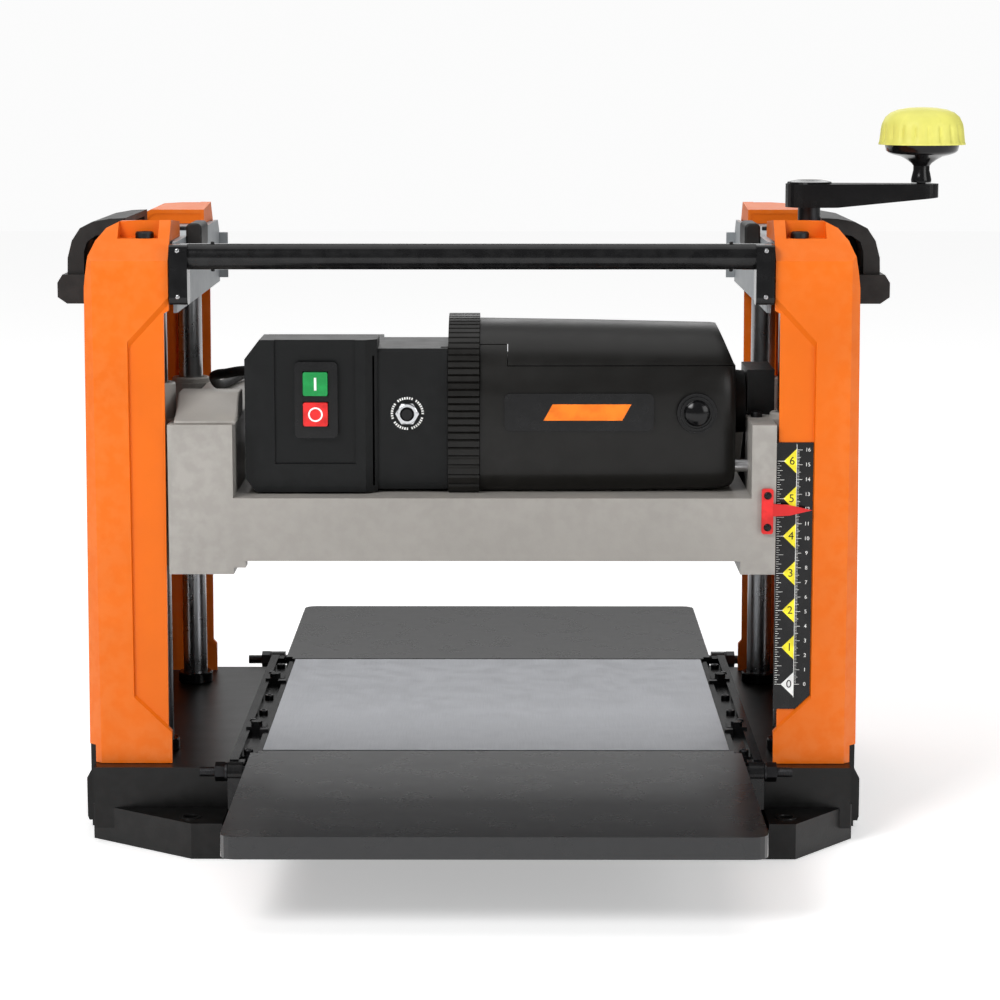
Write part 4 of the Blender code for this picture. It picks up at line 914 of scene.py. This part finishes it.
def head_details():
    dress("head_casting", "head", 0.9, 3)
    dress("gear_cover", "plastic", 0.8)
    dress("belt_cover", "plastic", 1.0)
    dress("dust_hood", "plastic", 0.9)
    dress("depth_pointer", "red", 0.25)
    screws = [cross_screw((197.6, -157, z), "y", 2.6, 1.3, True) for z in (215.5, 237)]
    piece("pointer_screws", merged(*screws), "gloss plastic", "head")

    tops = []
    for y in (-108, 110):
        tops.append(socket_screw((193.5, y, BLOCK_TOP_Z), "z", 4, 3.6, False))
    hump = [(-150, 283.7), (-150, 286), (-140, 289), (-130, 294), (-121, 300.5)]
    hump += [(-118, 302), (-96, 302), (-96, 283.7)]
    piece("head_hump", prism("x", hump, -199.5, -158), "head", "head", 1.2)
    for x in (-140, -20, 100, 170):
        tops.append(socket_screw((x, -6, BEAM_TOP_Z), "z", 4, 4, False))
    for y, z in ((-58, 192), (-58, 275), (86, 192), (86, 275)):
        tops.append(cross_screw((-202.3, y, z), "x", 2.8, 1.4, True))
    for y, z in ((-88, 194), (-88, 312), (-52, 312), (14, 190)):
        tops.append(cross_screw((202.7, y, z), "x", 2.8, 1.4, False))
    for x in (-86, 86):
        for z in (280, 245):
            tops.append(cross_screw((x, 136.1, z), "y", 2.8, 1.4, False))
    piece("head_screws", merged(*tops), "dark steel", "head")

    # Spot-faced rims round the post bores.
    rims = []
    for side in (-1, 1):
        for end in (-1, 1):
            # The front left bush stands higher than the others.
            low, top = BLOCK_TOP_Z - 0.2, 308 if side < 0 and end < 0 else 288
            loop = [(low, 14.5), (top - 1, 14.2), (top, 13.2), (top, 10.4), (top - 1, 9.4), (low, 9.4)]
            rims.append(hollow_turned("z", (side * POST_X, end * POST_Y), loop, 56))
    piece("post_bushes", merged(*rims), "head", "head")

    port = []
    for y in (150, 156, 162):
        loop = [(y, 27.9), (y + 2, 27.9), (y + 2, 26.8), (y, 26.8)]
        port.append(hollow_turned("y", DUST_PORT, loop, 72))
    piece("dust_port_rings", merged(*port), "plastic", "head", 0.2)
    ribs = []
    for x in range(-80, 81, 20):
        if abs(x) > 28:
            ribs.append(box((x - 1.2, x + 1.2), (135.8, 137.6), (238, 290)))
    piece("hood_ribs", merged(*ribs), "plastic", "head", 0.3)


def drive_details():
    dress("cutterhead", "dark steel", 0.3)
    dress("cutter_knife_lower", "knife")
    dress("cutter_knife_upper", "knife")
    dress("motor_rotor", "dark steel")
    dress("reduction_gear", "dark steel", 0.15)
    dress("roller_chain", "dark steel")
    dress("drive_belt", "rubber")
    dress("lift_chain", "dark steel")
    dress("kickback_pawls", "dark steel", 0.3)
    stations = [(-197, 4.8), (-196, 5.5), (-190, 5.5), (-190, 5), (-168, 5), (-168, 8), (-150, 8)]
    stations += [(-150, 15.4), (-149.4, 16), (177.4, 16), (178, 15.4), (178, 8), (184.5, 8)]
    for y, name in ((-ROLLER_Y, "infeed_roller"), (ROLLER_Y, "outfeed_roller")):
        roller = turned("x", (y, ROLLER_Z), stations, 72)
        piece(f"{name}_round", roller, "rubber", name, 0, (name,))
    bolts = []
    for side in (-1, 1):
        for x in (-120, -60, 0, 60, 120, 160):
            z = CUTTER_Z + side * 12
            bolts.append(socket_screw((x, -17.5, z), "y", 3, 2.4, True))
    piece("gib_bolts", merged(*bolts), "dark steel", "cutter")


# ---------------------------------------------------------------- stage

def studio():
    """A white sweep under soft boxes. The sky that the camera sees is brighter than the one that lights."""
    bpy.context.scene.view_settings.view_transform = "Standard"
    world = bpy.data.worlds.new("studio")
    bpy.context.scene.world = world
    world.use_nodes = True
    tree = world.node_tree
    sky = tree.nodes["Background"]
    sky.inputs["Color"].default_value = (1, 1, 1, 1)
    seen = tree.nodes.new("ShaderNodeLightPath").outputs["Is Camera Ray"]
    strength = tree.nodes.new("ShaderNodeMapRange")
    strength.inputs["To Min"].default_value = SKY_LIGHT
    strength.inputs["To Max"].default_value = SKY_SEEN
    tree.links.new(seen, strength.inputs["Value"])
    tree.links.new(strength.outputs[0], sky.inputs["Strength"])

    floor = bpy.data.objects.new("floor", box((-6000, 6000), (-3500, 7000), (-12, -0.4)))
    bpy.context.scene.collection.objects.link(floor)
    paper = Material("studio paper", (0.9, 0.9, 0.9), 0.8)
    paper.relief(paper.noise(3, 4), 0.02)
    paper.glow_away(FLOOR_GLOW_FROM, FLOOR_GLOW_TO, *FLOOR_GLOW)
    floor.data.materials.append(paper.made)

    lamps = (
        ("key", (-1100, -1700, 1700), (900, 900), 33),
        ("fill", (1600, -1500, 900), (1000, 1000), 11),
        ("top", (0, 200, 2200), (2600, 1800), 18),
        ("back", (0, 2200, 1300), (2400, 900), 12),
    )
    for name, at, size, power in lamps:
        light = bpy.data.lights.new(name, "AREA")
        light.shape = "RECTANGLE"
        light.size, light.size_y = size[0] * MM, size[1] * MM
        light.energy = power
        lamp = bpy.data.objects.new(name, light)
        lamp.location = Vector(at) * MM
        aim = Vector((0, 0, LAMPS_AIM_Z)) * MM - lamp.location
        lamp.rotation_euler = aim.to_track_quat("-Z", "Y").to_euler()
        bpy.context.scene.collection.objects.link(lamp)


def viewpoint():
    camera = bpy.data.cameras.new("camera")
    camera.lens = CAMERA_LENS
    camera.sensor_width = 36
    camera.clip_end = 50
    holder = bpy.data.objects.new("camera", camera)
    holder.location = Vector(CAMERA_AT) * MM
    holder.rotation_euler = (math.pi / 2 + CAMERA_PITCH, 0, CAMERA_YAW)
    bpy.context.scene.collection.objects.link(holder)
    bpy.context.scene.camera = holder


base_details()
hinge_details()
table_details()
column_details()
post_details()
crossbar_details()
handle_details()
scale_details()
crank_details()
motor_details()
switch_details()
head_details()
drive_details()
studio()
viewpoint()
